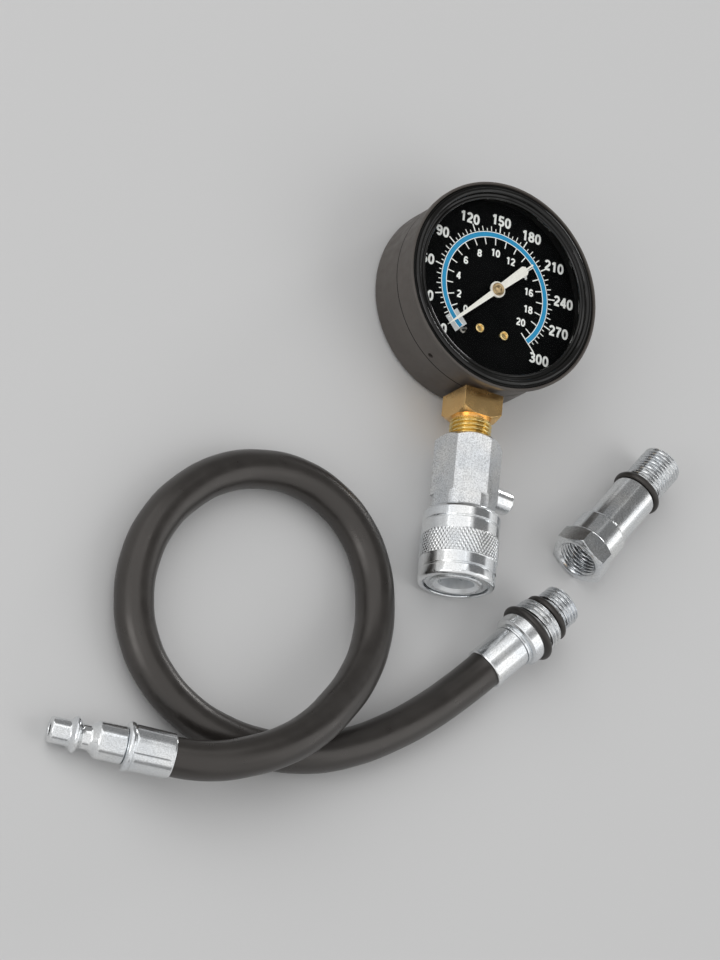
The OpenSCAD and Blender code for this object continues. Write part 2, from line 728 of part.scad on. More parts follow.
// Front half of the coupler: turned hexagon, poppet seat, nose bore and ball tube
module coupler_front() {
    color(C_STEEL) on_stem() difference() {
        union() {
            intersection() {
                translate([0, 0, split_s]) rotate([0, 0, -hex_turn]) hexagon(hex_af, shoulder_s - split_s);
                translate([0, 0, split_s]) cylinder(r = turned_r, h = shoulder_s - split_s);
            }
            turned([[0, shoulder_s - cut], [tube_r, shoulder_s - cut], [tube_r, ring_s], [ring_root, ring_s],
                    [ring_root, ring_s + ring_t + 0.1], [tube_r, ring_s + ring_t + 0.1],
                    [tube_r, mouth_s - 0.4], [tube_r - 0.4, mouth_s], [0, mouth_s]]);
        }
        turned([[0, split_s - cut], [spigot_r + seat_gap, split_s - cut],
                [spigot_r + seat_gap, spigot_end + 0.2], [chamber_r + 0.3, spigot_end + 0.2],
                [chamber_r + 0.3, seat_s], [3.2, seat_s], [3.2, nose_s], [nose_bore_r + 0.3, nose_s],
                [nose_bore_r + 0.3, nose_s + 1.7], [nose_bore_r, nose_s + 1.7], [nose_bore_r, seal_s],
                [seal_r, seal_s], [seal_r, seal_s + seal_t], [socket_r, seal_s + seal_t],
                [socket_r, mouth_s - 1], [socket_r + 1, mouth_s], [socket_r + 1, mouth_s + cut],
                [0, mouth_s + cut]]);
        for (k = [0:3])
            translate([0, 0, ball_s]) rotate([0, 0, 90 * k]) rotate([0, 90, 0])
                translate([0, 0, socket_r - 2]) cylinder(r = ball_r + seat_gap, h = 5);
    }
}

module coupler_poppet() {
    color(C_STEEL) on_stem() turned([
        [0, poppet_back - 3.8], [1.2, poppet_back - 3.8], [1.2, poppet_back], [chamber_r - 0.2, poppet_back],
        [chamber_r - 0.2, seat_s - 0.6], [3.4, seat_s - 0.05], [1.5, seat_s - 0.05], [1.5, nose_s + 1.4],
        [1.2, nose_s + 1.6], [0, nose_s + 1.6]]);
}

module poppet_spring() {
    color(C_STEEL) on_stem() translate([0, 0, poppet_spring_s])
        coil(chamber_r - 1.1, 0.35, poppet_back - poppet_travel - 0.15 - poppet_spring_s, 5);
}

module nose_seal() {
    color(C_RUBBER) on_stem() translate([0, 0, seal_s + seat_gap])
        tube(seal_r - 0.02, nose_bore_r + seat_gap, seal_t - 2 * seat_gap);
}

// Sliding sleeve: skirt over the spring, land and ramp over the balls, lip at the stop ring
module sleeve() {
    r = sleeve_r;
    color(C_STEEL) on_stem() turned(concat(
        [[skirt_in, sleeve_s], [skirt_in + 0.4, sleeve_s], [r - 0.5, sleeve_s + 0.9], [r, sleeve_s + 1.7]],
        turned_groove(r, groove_s0), [[r, knurl_s0 - 0.3], [r + knurl_out, knurl_s0]],
        [[r + knurl_out, knurl_s1], [r, knurl_s1 + 0.3]], turned_groove(r, groove_s1),
        arc([r - 1.1, sleeve_end - 1.1], 1.1, 0, 90, 6),
        [[relief_r + 0.3, sleeve_end], [relief_r, sleeve_end - 0.3], [relief_r, ring_s - 0.1],
         [land_r + 0.05, ring_s - 0.1], [land_r + 0.05, inner_lip_s], [relief_r, inner_lip_s],
         [relief_r, ramp_s + ramp_l], [land_r, ramp_s], [land_r, skirt_end], [skirt_in, skirt_end]]));
}

// Outline of a shallow groove in a turned barrel
function turned_groove(r, s) = [
    [r, s], [r - groove_d, s + groove_w / 4], [r - groove_d, s + groove_w * 3 / 4], [r, s + groove_w]
];

module sleeve_spring() {
    color(C_STEEL) on_stem() translate([0, 0, shoulder_s + 0.05])
        coil((tube_r + skirt_in) / 2, 0.35, sleeve_spring_l, 3);
}

// Snap ring that stops the sleeve, with its gap
module sleeve_ring() {
    color(C_STEEL) on_stem() translate([0, 0, ring_s + seat_gap]) difference() {
        tube(tube_r + 1.3, ring_root + 0.02, ring_t);
        translate([0, ring_root - cut, -cut])
            cube([1.6, tube_r + 1.3 - ring_root + 2 * cut, ring_t + 2 * cut]);
    }
}

module ball(k) {
    color(C_STEEL) on_stem() translate([0, 0, ball_s]) rotate([0, 0, 90 * k])
        translate([ball_rc, 0, 0]) sphere(r = ball_r, $fn = 48);
}

// Hollow push button over the bleed valve's stem
module release_button() {
    color(C_STEEL) on_button() difference() {
        turned(concat(
            [[0, button_base], [button_r, button_base]],
            arc([button_r - 1, button_top - 1], 1, 0, 90, 6),
            [[0, button_top]]));
        translate([0, 0, button_base - cut]) cylinder(r = button_in, h = button_hollow - button_base + cut);
        translate([0, 0, button_hollow - cut]) cylinder(r = valve_r + 0.02, h = 3 + cut);
    }
}

module button_valve() {
    color(C_BRASS) on_button() turned([
        [0, 1.6], [1.5, 1.6], [1.8, 1.9], [1.8, 2.7], [valve_r, 3], [valve_r, button_hollow + 2.9],
        [0, button_hollow + 2.9]]);
}

module button_spring() {
    color(C_STEEL) on_button() translate([0, 0, button_seat + 0.05])
        coil(2.3, 0.25, button_hollow - button_seat - button_travel - 0.3, 6);
}

// Free stretch of the hose between the two ferrules
module hose() {
    d0 = heading(plug_yaw, plug_rise);
    d1 = heading(fitting_yaw, fitting_rise);
    from = [plug_at[0], plug_at[1], plug_z] + plug_len * d0;
    to = [fitting_at[0], fitting_at[1], fitting_z];
    color(C_RUBBER) swept(concat([from], HOSE, [to]), d0, d1, hose_r, HOSE_SIDES);
}

// The hose's two ends, clamped in the ferrules
module hose_ends() {
    color(C_RUBBER) {
        on_plug() translate([0, 0, bead_t + 2.9]) tube(hose_r, hose_bore_r, plug_len - bead_t - 2.9);
        on_fitting() tube(hose_r, hose_bore_r, collar_t - 2.2);
    }
}

// Quick plug with its nose, flange, ball groove and barbed tail
module plug() {
    color(C_STEEL) on_plug() difference() {
        turned(concat(
            [[0, 0]], arc([nose_r - 0.5, 0.5], 0.5, -90, 0, 4),
            [[nose_r, flange_t - 1.8]], arc([flange_r - flange_w, flange_t], flange_w, -70, 70, 8),
            [[groove_r, flange_t + 2], [groove_r, flange_t + 4.6], [plug_r - 0.3, flange_t + 6.6],
             [plug_r, flange_t + 7.1], [plug_r, bead_t], [barb_r - 0.5, bead_t]],
            [for (k = [0:3]) each [[barb_r - 0.5, bead_t + 3 + 2.8 * k], [barb_r, bead_t + 3.4 + 2.8 * k],
                                   [barb_r - 0.45, bead_t + 5.6 + 2.8 * k]]],
            [[barb_r - 0.6, plug_len - 0.2], [0, plug_len - 0.2]]));
        translate([0, 0, -cut]) cylinder(r = 2, h = plug_len + cut);
    }
}

module plug_ferrule() {
    color(C_STEEL) on_plug() turned(concat(
        [[barb_r - 0.4, bead_t + seat_gap], [plug_r + 0.5, bead_t + seat_gap]],
        arc([bead_r - bead_w, bead_t + seat_gap + bead_w], bead_w, -70, 65, 8),
        [[ferrule_r + 0.3, bead_t + 2.8], [ferrule_r + 0.15, bead_t + 6],
         [ferrule_r, plug_len - 0.3], [ferrule_r - 0.25, plug_len], [clamp_r, plug_len],
         [clamp_r, bead_t + 2.85], [barb_r - 0.4, bead_t + 2.85]]));
}

// End fitting: barbed tail, collar, large thread, small thread and the valve's bore
module hose_fitting() {
    color(C_STEEL) on_fitting() difference() {
        turned(concat(
            [[0, 0.2], [barb_r - 0.6, 0.2]],
            [for (k = [0:3]) each [[barb_r - 0.45, 0.6 + 2.8 * k], [barb_r, 2.8 + 2.8 * k],
                                   [barb_r - 0.5, 3.2 + 2.8 * k]]],
            [[barb_r - 0.5, collar_t - 2], [ferrule_r - 0.4, collar_t - 2], [m18_r - 0.15, collar_t],
             [m18_r - 0.15, collar_end], [m18_r - 1.3, collar_end], [m18_r - 1.3, m18_t],
             [m18_r - 0.4, m18_t], [m18_r, m18_t + 0.4], [m18_r, m18_end - 0.7], [m18_r - 1.1, m18_end],
             [m14_r - 0.95, m18_end], [m14_r - 0.95, m14_t], [m14_r, m14_t + 0.4],
             [m14_r, fitting_len - 0.8], [m14_r - 0.9, fitting_len], [0, fitting_len]]));
        cylinder(r = 1.9, h = fitting_len + cut);
        translate([0, 0, core_t - 3]) cylinder(r = core_bore_r, h = fitting_len);
    }
}

module fitting_ferrule() {
    color(C_STEEL) on_fitting() turned([
        [clamp_r, 0], [ferrule_r - 0.25, 0], [ferrule_r, 0.3], [ferrule_r, collar_t - 2.1],
        [barb_r - 0.4, collar_t - 2.1], [barb_r - 0.4, collar_t - 2.15], [clamp_r, collar_t - 2.15]]);
}

module oring_m18() {
    color(C_RUBBER) on_fitting() translate([0, 0, oring_m18_t])
        oring(oring_m18_r, oring_large_t - 0.05);
}

module oring_m14() {
    color(C_RUBBER) on_fitting() translate([0, 0, (m18_end + m14_t) / 2])
        oring(oring_m14_r, oring_small_t);
}

// Check valve's core, pressed into the fitting's end
module valve_core() {
    color(C_BRASS) on_fitting() difference() {
        translate([0, 0, core_t]) cylinder(r = core_bore_r - 0.02, h = 8.3);
        translate([0, 0, core_t + 1.5]) cylinder(r = 1.85, h = 5);
        cylinder(r = 0.7 + run_gap, h = fitting_len + cut);
    }
}

module core_spring() {
    color(C_STEEL) on_fitting() translate([0, 0, core_t + 1.6]) coil(1.35, 0.2, 3.4, 5);
}

module core_pin() {
    color(C_BRASS) on_fitting() turned([
        [0, core_t - 1.6], [1.4, core_t - 1.6], [1.4, core_t - 0.6], [0.7, core_t - 0.1],
        [0.7, fitting_len + 0.1], [0, fitting_len + 0.1]]);
}

// Long reach adapter: hexagon with a threaded bore, shoulder, sleeve and small thread
module adapter() {
    shoulder = adapter_af / 2 - 0.12;
    color(C_STEEL) on_adapter() difference() {
        union() {
            intersection() {
                rotate([0, 0, 30]) hexagon(adapter_af, adapter_hex_l + 1);
                turned([[0, 0], [adapter_af / 2 - 0.2, 0], [adapter_af / 2 / cos(30) + 0.1, 0.9],
                        [adapter_af / 2 / cos(30) + 0.1, adapter_hex_l - 0.6],
                        [shoulder, adapter_hex_l + 0.6], [0, adapter_hex_l + 0.6]]);
            }
            turned([[0, adapter_hex_l], [shoulder, adapter_hex_l], [shoulder, adapter_waist],
                    [adapter_r, adapter_waist + 1.1], [adapter_r, adapter_relief - 0.3],
                    [m14_r - 0.8, adapter_relief], [m14_r - 0.8, adapter_thread],
                    [m14_r, adapter_thread + 0.5], [m14_r, adapter_len - 0.9],
                    [m14_r - 1, adapter_len], [0, adapter_len]]);
        }
        turned([[0, -cut], [adapter_bore_r + 1, -cut], [adapter_bore_r + 1, 0], [adapter_bore_r, 0.9],
                [adapter_bore_r, adapter_bore_l + 0.9], [0, adapter_bore_l + 3]]);
        cylinder(r = 2.8, h = adapter_len + cut);
    }
}

module adapter_oring() {
    color(C_RUBBER) on_adapter() translate([0, 0, (adapter_relief + adapter_thread) / 2])
        oring(m14_r - 0.75 + oring_small_t, oring_small_t);
}

rear_case();
front_case();
bezel_ring();
lens();
face_ring();
dial_plate();
dial_screws();
stop_pin();
socket();
bourdon_tube();
tube_tip();
movement_base();
movement_pillars();
movement_top();
hairspring();
pointer();
pointer_hub();
pinion_shaft();
sector_gear();
link();
coupler_back();
coupler_front();
coupler_poppet();
poppet_spring();
nose_seal();
sleeve();
sleeve_spring();
sleeve_ring();
ball(0);  // ball_1
ball(1);  // ball_2
ball(2);  // ball_3
ball(3);  // ball_4
release_button();
button_valve();
button_spring();
hose();
hose_ends();
plug();
plug_ferrule();
hose_fitting();
fitting_ferrule();
oring_m18();
oring_m14();
valve_core();
core_spring();
core_pin();
adapter();
adapter_oring();
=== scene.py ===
import json
import math

import bmesh
import bpy
import numpy as np
from mathutils import Matrix, Quaternion, Vector


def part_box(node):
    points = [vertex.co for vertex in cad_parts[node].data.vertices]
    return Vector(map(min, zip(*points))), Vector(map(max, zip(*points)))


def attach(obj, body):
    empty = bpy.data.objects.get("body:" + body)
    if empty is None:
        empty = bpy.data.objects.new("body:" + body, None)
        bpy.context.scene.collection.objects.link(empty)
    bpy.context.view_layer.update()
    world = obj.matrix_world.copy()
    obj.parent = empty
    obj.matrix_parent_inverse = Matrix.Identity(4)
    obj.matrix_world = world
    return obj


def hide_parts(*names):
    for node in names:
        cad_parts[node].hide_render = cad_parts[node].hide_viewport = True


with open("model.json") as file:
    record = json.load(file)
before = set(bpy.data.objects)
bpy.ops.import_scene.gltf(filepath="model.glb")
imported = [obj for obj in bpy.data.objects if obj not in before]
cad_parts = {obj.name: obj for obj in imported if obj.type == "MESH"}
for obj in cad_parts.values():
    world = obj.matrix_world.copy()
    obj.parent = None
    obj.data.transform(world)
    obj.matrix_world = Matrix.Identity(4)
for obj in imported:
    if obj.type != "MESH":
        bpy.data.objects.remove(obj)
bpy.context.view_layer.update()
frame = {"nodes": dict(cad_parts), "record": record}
nodes = frame["nodes"]
mounts = {m["name"]: m for m in frame["record"]["mounts"]}

# Lengths are in millimetres unless a comment says metres, and are scaled where a mesh or curve is made
MM = 0.001

# Camera, matched to the bezel's ellipse and the line of the stem
AIM = (-31.16, -68.27, 0.0)
TO_CAMERA = Vector((-0.4557, -0.3562, 0.8157)).normalized()
CAMERA_DISTANCE = 1561.4
CAMERA_ROLL = math.radians(63.21)
CAMERA_LENS = 246.79
SENSOR_WIDTH = 36.0
CLIP_START = 50.0

# Length of the plug from its nose to its ferrule's mouth
PLUG_LEN = 38.4

# Hose: its radius, the reach of its ends' handles, and the points that it runs through between its ferrules
HOSE_R = 6.2
HOSE_HANDLE = 4.5
HOSE_ROUTE = [
    (-81, -177.7, 16), (-70, -174, 18.1), (-59.5, -168.5, 19.2), (-49.5, -160.5, 18.9), (-41, -150.5, 17.2),
    (-33, -138.5, 14.2), (-27.5, -124.5, 10.8), (-26, -110.5, 8.2), (-28, -98.5, 6.8), (-34, -88, 6.3),
    (-43.5, -80.5, 6.25), (-56, -76.5, 6.25), (-69.5, -77.2, 6.25), (-83, -82.2, 6.25), (-95, -91.8, 6.25),
    (-103.7, -103.8, 6.25), (-108.3, -117.2, 6.25), (-108.8, -130.3, 6.25), (-105.5, -142.6, 6.25),
    (-98, -153.2, 6.25), (-87, -161, 6.25), (-73.5, -165.3, 6.25), (-59, -166.2, 6.25), (-43.5, -164, 6.25),
    (-28.5, -158, 6.25), (-15, -149.8, 6.25), (-3, -140.5, 6.25), (7.2, -131, 6.28),
]


def make_camera():
    data = bpy.data.cameras.new("camera")
    data.sensor_fit = "HORIZONTAL"
    data.sensor_width = SENSOR_WIDTH
    data.lens = CAMERA_LENS
    data.clip_start = CLIP_START * MM
    camera = bpy.data.objects.new("camera", data)
    camera.location = (Vector(AIM) + TO_CAMERA * CAMERA_DISTANCE) * MM
    camera.rotation_mode = "QUATERNION"
    level = (-TO_CAMERA).to_track_quat("-Z", "Y")
    camera.rotation_quaternion = level @ Quaternion((0, 0, 1), CAMERA_ROLL)
    bpy.context.scene.collection.objects.link(camera)
    bpy.context.scene.camera = camera


def local_frame(mount, mount_z, direction, x_towards):
    """A frame in millimetres on a mount's axis, with the mount at mount_z.

    Its z is the mount's axis times direction, and its x lies as near to x_towards as it can.
    """
    axis = Vector(mounts[mount]["axis"]) * direction
    origin = Vector(mounts[mount]["pos_m"]) / MM - axis * mount_z
    x = Vector(x_towards)
    x = (x - axis * x.dot(axis)).normalized()
    y = axis.cross(x)
    turn = Matrix((x, y, axis)).transposed().to_4x4()
    return Matrix.Translation(origin) @ turn


# Local frames: z runs out along the stem, the plug, the hose fitting and the adapter
DOWN = (0, 0, -1)
STEM = local_frame("nose_bore", 83.225, 1, (1, 0, 0))
PLUG = local_frame("plug_nose", 3.3, -1, DOWN)
FITTING = local_frame("hose_m14", 33.15, 1, DOWN)
ADAPTER = local_frame("adapter_bore", 7.9, -1, DOWN)


def make_hose():
    """The hose as one open spline from the plug's ferrule to the fitting's ferrule."""
    first = PLUG @ Vector((0, 0, PLUG_LEN))
    last = FITTING.translation
    points = [first, *(Vector(p) for p in HOSE_ROUTE), last]
    curve = bpy.data.curves.new("hose_line", "CURVE")
    curve.dimensions = "3D"
    # Times the knots' radius, which is the hose's own
    curve.bevel_depth = 1.0
    curve.bevel_resolution = 10
    curve.use_fill_caps = True
    spline = curve.splines.new("BEZIER")
    spline.resolution_u = 8
    spline.bezier_points.add(len(points) - 1)
    for knot, point in zip(spline.bezier_points, points):
        knot.co = point * MM
        knot.radius = HOSE_R * MM
        knot.handle_left_type = knot.handle_right_type = "AUTO"
    # Straight out of each ferrule
    for knot, axis_frame in ((spline.bezier_points[0], PLUG), (spline.bezier_points[-1], FITTING)):
        reach = axis_frame.col[2].to_3d() * HOSE_HANDLE * MM
        knot.handle_left_type = knot.handle_right_type = "FREE"
        knot.handle_left = knot.co - reach
        knot.handle_right = knot.co + reach
    hose = bpy.data.objects.new("hose_line", curve)
    bpy.context.scene.collection.objects.link(hose)
    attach(hose, "hose_set")
    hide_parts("hose")
    return hose


make_camera()
hose = make_hose()


# Materials
# Where most of a noise's values lie
NOISE_LOW, NOISE_HIGH = 0.3, 0.7
ZINC_CLOUDS = [(0.3, (0.79, 0.82, 0.85)), (0.6, (0.90, 0.91, 0.91)), (0.8, (0.94, 0.94, 0.92))]
ZINC_GRAIN = 2600
# Dark colour mixed into the roots of zinc threads and knurls: dirt and painted shade
ZINC_DIRT_AND_SHADE = (0.16, 0.17, 0.18)
# The coupler's bore, which is matt
BORE_R = 7.4
BORE_METALLIC = 0.45
BORE_SPANGLE = 0.02
# Dark colour mixed into the roots of brass threads: dirt and painted shade
BRASS_DIRT_AND_SHADE = (0.45, 0.22, 0.05)
RUBBER_TINT = (1.0, 0.95, 0.91, 1)
# Share of light that the lens mirrors seen straight on, and how steeply the share grows towards a slant
LENS_MIRROR = 0.003
LENS_POWER = 5.0


def add(tree, kind, inputs=None, **settings):
    """Adds a shader node.

    inputs maps a socket's name or number to a value or to another node's output.
    """
    node = tree.nodes.new("ShaderNode" + kind)
    for key, value in settings.items():
        setattr(node, key, value)
    for key, value in (inputs or {}).items():
        if isinstance(value, bpy.types.NodeSocket):
            tree.links.new(value, node.inputs[key])
        else:
            node.inputs[key].default_value = value
    return node


def new_look(name, colour, roughness, metallic=0.0):
    """A material with its principled shader, and the place on the object in metres."""
    look = bpy.data.materials.new(name)
    look.use_nodes = True
    tree = look.node_tree
    shader = tree.nodes["Principled BSDF"]
    shader.inputs["Base Color"].default_value = (*colour, 1)
    shader.inputs["Roughness"].default_value = roughness
    shader.inputs["Metallic"].default_value = metallic
    place = add(tree, "TexCoord").outputs["Object"]
    return look, tree, shader, place


def noise(tree, place, scale, detail, roughness=0.5):
    """Noise from 0 to 1 whose grain is about 1/scale metres."""
    sockets = {"Vector": place, "Scale": scale, "Detail": detail, "Roughness": roughness}
    return add(tree, "TexNoise", sockets).outputs[0]


def between(tree, value, low, high, start=0.0, end=1.0):
    """Maps value from start..end to low..high."""
    sockets = {0: value, 1: start, 2: end, 3: low, 4: high}
    return add(tree, "MapRange", sockets).outputs[0]


def blend_colours(tree, value, *stops):
    """A colour from a ramp of (position, colour) stops."""
    ramp = add(tree, "ValToRGB", {0: value})
    while len(ramp.color_ramp.elements) < len(stops):
        ramp.color_ramp.elements.new(0.5)
    for element, (position, colour) in zip(ramp.color_ramp.elements, stops):
        element.position = position
        element.color = (*colour, 1)
    return ramp.outputs[0]


def math_node(tree, operation, first, second):
    """The result of a math node on two values."""
    return add(tree, "Math", {0: first, 1: second}, operation=operation).outputs[0]


def vector_node(tree, operation, first, second):
    """A vector math node on two vectors, whose outputs are Vector and Value."""
    return add(tree, "VectorMath", {0: first, 1: second}, operation=operation)


def scaled(tree, vector, factor):
    return add(tree, "VectorMath", {0: vector, "Scale": factor}, operation="SCALE").outputs[0]


def times(colour, factor, more=0.0):
    """A colour with each channel multiplied by factor, plus more."""
    return tuple(c * factor + more for c in colour)


def soft_edge(tree, radius):
    """A normal that rounds the edges by a radius in millimetres."""
    return add(tree, "Bevel", {"Radius": radius * MM}, samples=4).outputs[0]


def bump(tree, shader, height, strength, depth, under=None):
    """Adds relief of depth millimetres to the shader's normal, over the normal that under gives."""
    sockets = {"Height": height, "Strength": strength, "Distance": depth * MM}
    if under is not None:
        sockets["Normal"] = under
    normal = add(tree, "Bump", sockets).outputs[0]
    tree.links.new(normal, shader.inputs["Normal"])
    return normal


def uneven_gloss(tree, shader, smear, low, high):
    """Lets the roughness wander between low and high with a noise."""
    tree.links.new(between(tree, smear, low, high, NOISE_LOW, NOISE_HIGH), shader.inputs["Roughness"])


def from_axis(tree, place, axis_frame):
    """How far a place is along an axis, and out from it, in metres."""
    axis = axis_frame.col[2].to_3d()
    away = vector_node(tree, "SUBTRACT", place, axis_frame.translation * MM).outputs[0]
    along = vector_node(tree, "DOT_PRODUCT", away, axis).outputs["Value"]
    out = vector_node(tree, "DISTANCE", away, scaled(tree, axis, along)).outputs["Value"]
    return along, out


def turning_marks(tree, place, axis_frame):
    """Noise in rings about an axis: along it on a barrel, and outwards on an end face."""
    along, out = from_axis(tree, place, axis_frame)
    both = add(tree, "CombineXYZ", {0: along, 1: out}).outputs[0]
    return noise(tree, both, 3500, 3)


def soiled_and_shaded(tree, colour, dirt_and_shade, most):
    """Mixes dirt and painted shade into the roots of threads and knurls, by a turned mesh's attribute hollow.
    """
    hollow = add(tree, "Attribute", attribute_name="hollow").outputs["Fac"]
    share = between(tree, hollow, 0, most, 0.1, 0.9)
    mix = add(tree, "Mix", {0: share, 6: colour, 7: (*dirt_and_shade, 1)}, data_type="RGBA")
    return mix.outputs[2]


def zinc(name, axis_frame=None, roughness=0.2, spangle=0.12, speckle=0.1, dirt_and_shade=0.6, dull_bore=None):
    """Bright zinc plate: faint blue-grey clouds, fine grain, and turning marks where it has an axis.

    With dull_bore it has no turning marks, and within that radius of the axis it is the matt grey of a bore.
    """
    look, tree, shader, place = new_look(name, (0.8, 0.8, 0.8), roughness, 1.0)
    clouds = noise(tree, place, 90, 3)
    colour = blend_colours(tree, clouds, *ZINC_CLOUDS)
    specks = between(tree, noise(tree, place, ZINC_GRAIN, 2, 0.7), 1 - speckle * 2.2, 1.0, 0.35, 0.6)
    if dull_bore:
        out = from_axis(tree, place, axis_frame)[1]
        inside = between(tree, out, 1, 0, (dull_bore - 0.05) * MM, (dull_bore + 0.05) * MM)
        tree.links.new(between(tree, inside, 1, BORE_METALLIC), shader.inputs["Metallic"])
        specks = math_node(tree, "MAXIMUM", specks, inside)
        spangle = between(tree, inside, spangle, BORE_SPANGLE)
    colour = scaled(tree, colour, specks)
    # Dirt and painted shade in the roots of threads and knurls
    tree.links.new(soiled_and_shaded(tree, colour, ZINC_DIRT_AND_SHADE, dirt_and_shade), shader.inputs["Base Color"])
    uneven_gloss(tree, shader, noise(tree, place, 260, 4), roughness * 0.85, roughness * 1.25)
    grain = add(tree, "TexVoronoi", {"Vector": place, "Scale": ZINC_GRAIN}).outputs["Distance"]
    normal = bump(tree, shader, grain, spangle, 0.012, soft_edge(tree, 0.12))
    if axis_frame is not None and not dull_bore:
        bump(tree, shader, turning_marks(tree, place, axis_frame), 0.25, 0.02, normal)
    return look


def brass(name, colour, axis_frame=None, dirt_and_shade=BRASS_DIRT_AND_SHADE):
    """Turned brass: browner clouds of tarnish, fine grain, and turning marks where it has an axis."""
    look, tree, shader, place = new_look(name, colour, 0.22, 1.0)
    clouds = noise(tree, place, 140, 3)
    tarnish = tuple(c * w for c, w in zip(colour, (0.93, 0.88, 0.8)))
    base = blend_colours(tree, clouds, (0.3, tarnish), (0.65, colour))
    # Dirt and painted shade in the roots of the thread
    tree.links.new(soiled_and_shaded(tree, base, dirt_and_shade, 0.7), shader.inputs["Base Color"])
    uneven_gloss(tree, shader, noise(tree, place, 300, 3), 0.18, 0.3)
    normal = bump(tree, shader, noise(tree, place, 1800, 3), 0.15, 0.015, soft_edge(tree, 0.15))
    if axis_frame is not None:
        bump(tree, shader, turning_marks(tree, place, axis_frame), 0.4, 0.03, normal)
    return look


def enamel(name, colour, roughness, grain, gloss):
    """Sprayed black enamel with a faint orange peel and a film of dust."""
    look, tree, shader, place = new_look(name, colour, roughness)
    dust = noise(tree, place, 55, 5, 0.65)
    base = blend_colours(tree, dust, (0.35, colour), (0.75, times(colour, 1.25, 0.002)))
    tree.links.new(base, shader.inputs["Base Color"])
    uneven_gloss(tree, shader, noise(tree, place, 240, 4, 0.6), roughness * 0.8, roughness * 1.35)
    shader.inputs["Specular IOR Level"].default_value = gloss
    bump(tree, shader, noise(tree, place, 1400, 2), grain, 0.03, soft_edge(tree, 0.2))
    return look


def rubber(name, colour, roughness, grain, gloss):
    """Black rubber with a pale bloom in clouds and a fine grain."""
    look, tree, shader, place = new_look(name, colour, roughness)
    shader.inputs["Specular IOR Level"].default_value = gloss
    shader.inputs["Specular Tint"].default_value = RUBBER_TINT
    bloom = noise(tree, place, 45, 5, 0.6)
    base = blend_colours(tree, bloom, (0.3, colour), (0.8, times(colour, 1.5, 0.003)))
    tree.links.new(base, shader.inputs["Base Color"])
    uneven_gloss(tree, shader, noise(tree, place, 180, 4, 0.6), roughness * 0.85, roughness * 1.25)
    bump(tree, shader, noise(tree, place, 2200, 3, 0.6), grain, 0.04)
    return look


def printed(name, colour):
    """Screen printed ink: slightly uneven in shade."""
    look, tree, shader, place = new_look(name, colour, 0.45)
    patch = noise(tree, place, 900, 3)
    base = blend_colours(tree, patch, (0.3, times(colour, 0.94)), (0.6, colour))
    tree.links.new(base, shader.inputs["Base Color"])
    bump(tree, shader, noise(tree, place, 5000, 2), 0.2, 0.01)
    return look


def dark_metal(name, colour, roughness):
    """Worn metal that has gone dull: darker in patches, with fine pits."""
    look, tree, shader, place = new_look(name, colour, roughness, 1.0)
    patch = noise(tree, place, 600, 3)
    base = blend_colours(tree, patch, (0.35, times(colour, 0.6)), (0.65, colour))
    tree.links.new(base, shader.inputs["Base Color"])
    bump(tree, shader, noise(tree, place, 4000, 2), 0.2, 0.01)
    return look


def clear_lens(name):
    """Coated clear lens: see-through, with a faint mirror that grows at a slant."""
    look, tree, shader, place = new_look(name, (1, 1, 1), 0.03)
    tree.nodes.remove(shader)
    haze = noise(tree, place, 70, 4)
    gloss = add(tree, "BsdfGlossy", {"Roughness": between(tree, haze, 0.02, 0.09)})
    clear = add(tree, "BsdfTransparent", {"Color": (0.995, 1, 0.995, 1)})
    slant = add(tree, "LayerWeight", {"Blend": 0.5}).outputs["Facing"]
    share = between(tree, math_node(tree, "POWER", slant, LENS_POWER), LENS_MIRROR, 1)
    mixed = add(tree, "MixShader", {0: share, 1: clear.outputs[0], 2: gloss.outputs[0]})
    tree.links.new(mixed.outputs[0], tree.nodes["Material Output"].inputs["Surface"])
    return look


LOOKS = {
    "case": enamel("case_enamel", (0.069, 0.060, 0.053), roughness=0.42, grain=0.35, gloss=0.5),
    "bezel": enamel("bezel_gloss", (0.004, 0.004, 0.0035), roughness=0.09, grain=0.05, gloss=0.4),
    "gap": enamel("seam_gap", (0.006, 0.006, 0.006), roughness=0.7, grain=0.2, gloss=0.1),
    "dial": enamel("dial_black", (0.0015, 0.0018, 0.002), roughness=0.35, grain=0.1, gloss=0.03),
    "lens": clear_lens("clear_lens"),
    "white": printed("pointer_paint", (0.97, 0.94, 0.88)),
    "ink": printed("dial_ink", (0.98, 0.98, 0.96)),
    "box": printed("box_ink", (0.66, 0.67, 0.68)),
    "blue": printed("blue_ink", (0.012, 0.32, 0.62)),
    "brass": brass("brass_plain", (0.90, 0.60, 0.26)),
    "screw_brass": brass("brass_screw", (0.98, 0.76, 0.38)),
    "stem_brass": brass("brass_stem", (0.98, 0.66, 0.29), STEM),
    "thread_brass": brass("brass_thread", (0.98, 0.80, 0.38), STEM, dirt_and_shade=(0.62, 0.40, 0.10)),
    "dull_brass": dark_metal("brass_dull", (0.66, 0.48, 0.27), roughness=0.3),
    "dull_steel": dark_metal("steel_dull", (0.30, 0.29, 0.27), roughness=0.35),
    "steel": zinc("steel_plain", roughness=0.18, spangle=0.08),
    "zinc": zinc("zinc_plain"),
    "ring_zinc": zinc("zinc_ring", roughness=0.32, spangle=0.08),
    "coupler_zinc": zinc("zinc_coupler", STEM, roughness=0.3, spangle=0.25, speckle=0.2, dull_bore=BORE_R),
    "sleeve_zinc": zinc("zinc_sleeve", STEM, roughness=0.15, spangle=0.05, speckle=0.07, dirt_and_shade=0.25),
    "plug_zinc": zinc("zinc_plug", PLUG, roughness=0.17, spangle=0.08),
    "fitting_zinc": zinc("zinc_fitting", FITTING, roughness=0.19, spangle=0.08, dirt_and_shade=0.3),
    "adapter_zinc": zinc("zinc_adapter", ADAPTER, roughness=0.17, spangle=0.08, speckle=0.14, dirt_and_shade=0.25),
    "seal": rubber("seal_rubber", (0.011, 0.0098, 0.0088), roughness=0.36, grain=0.3, gloss=0.6),
    "hose": rubber("hose_rubber", (0.0155, 0.0136, 0.0122), roughness=0.31, grain=0.35, gloss=0.72),
}

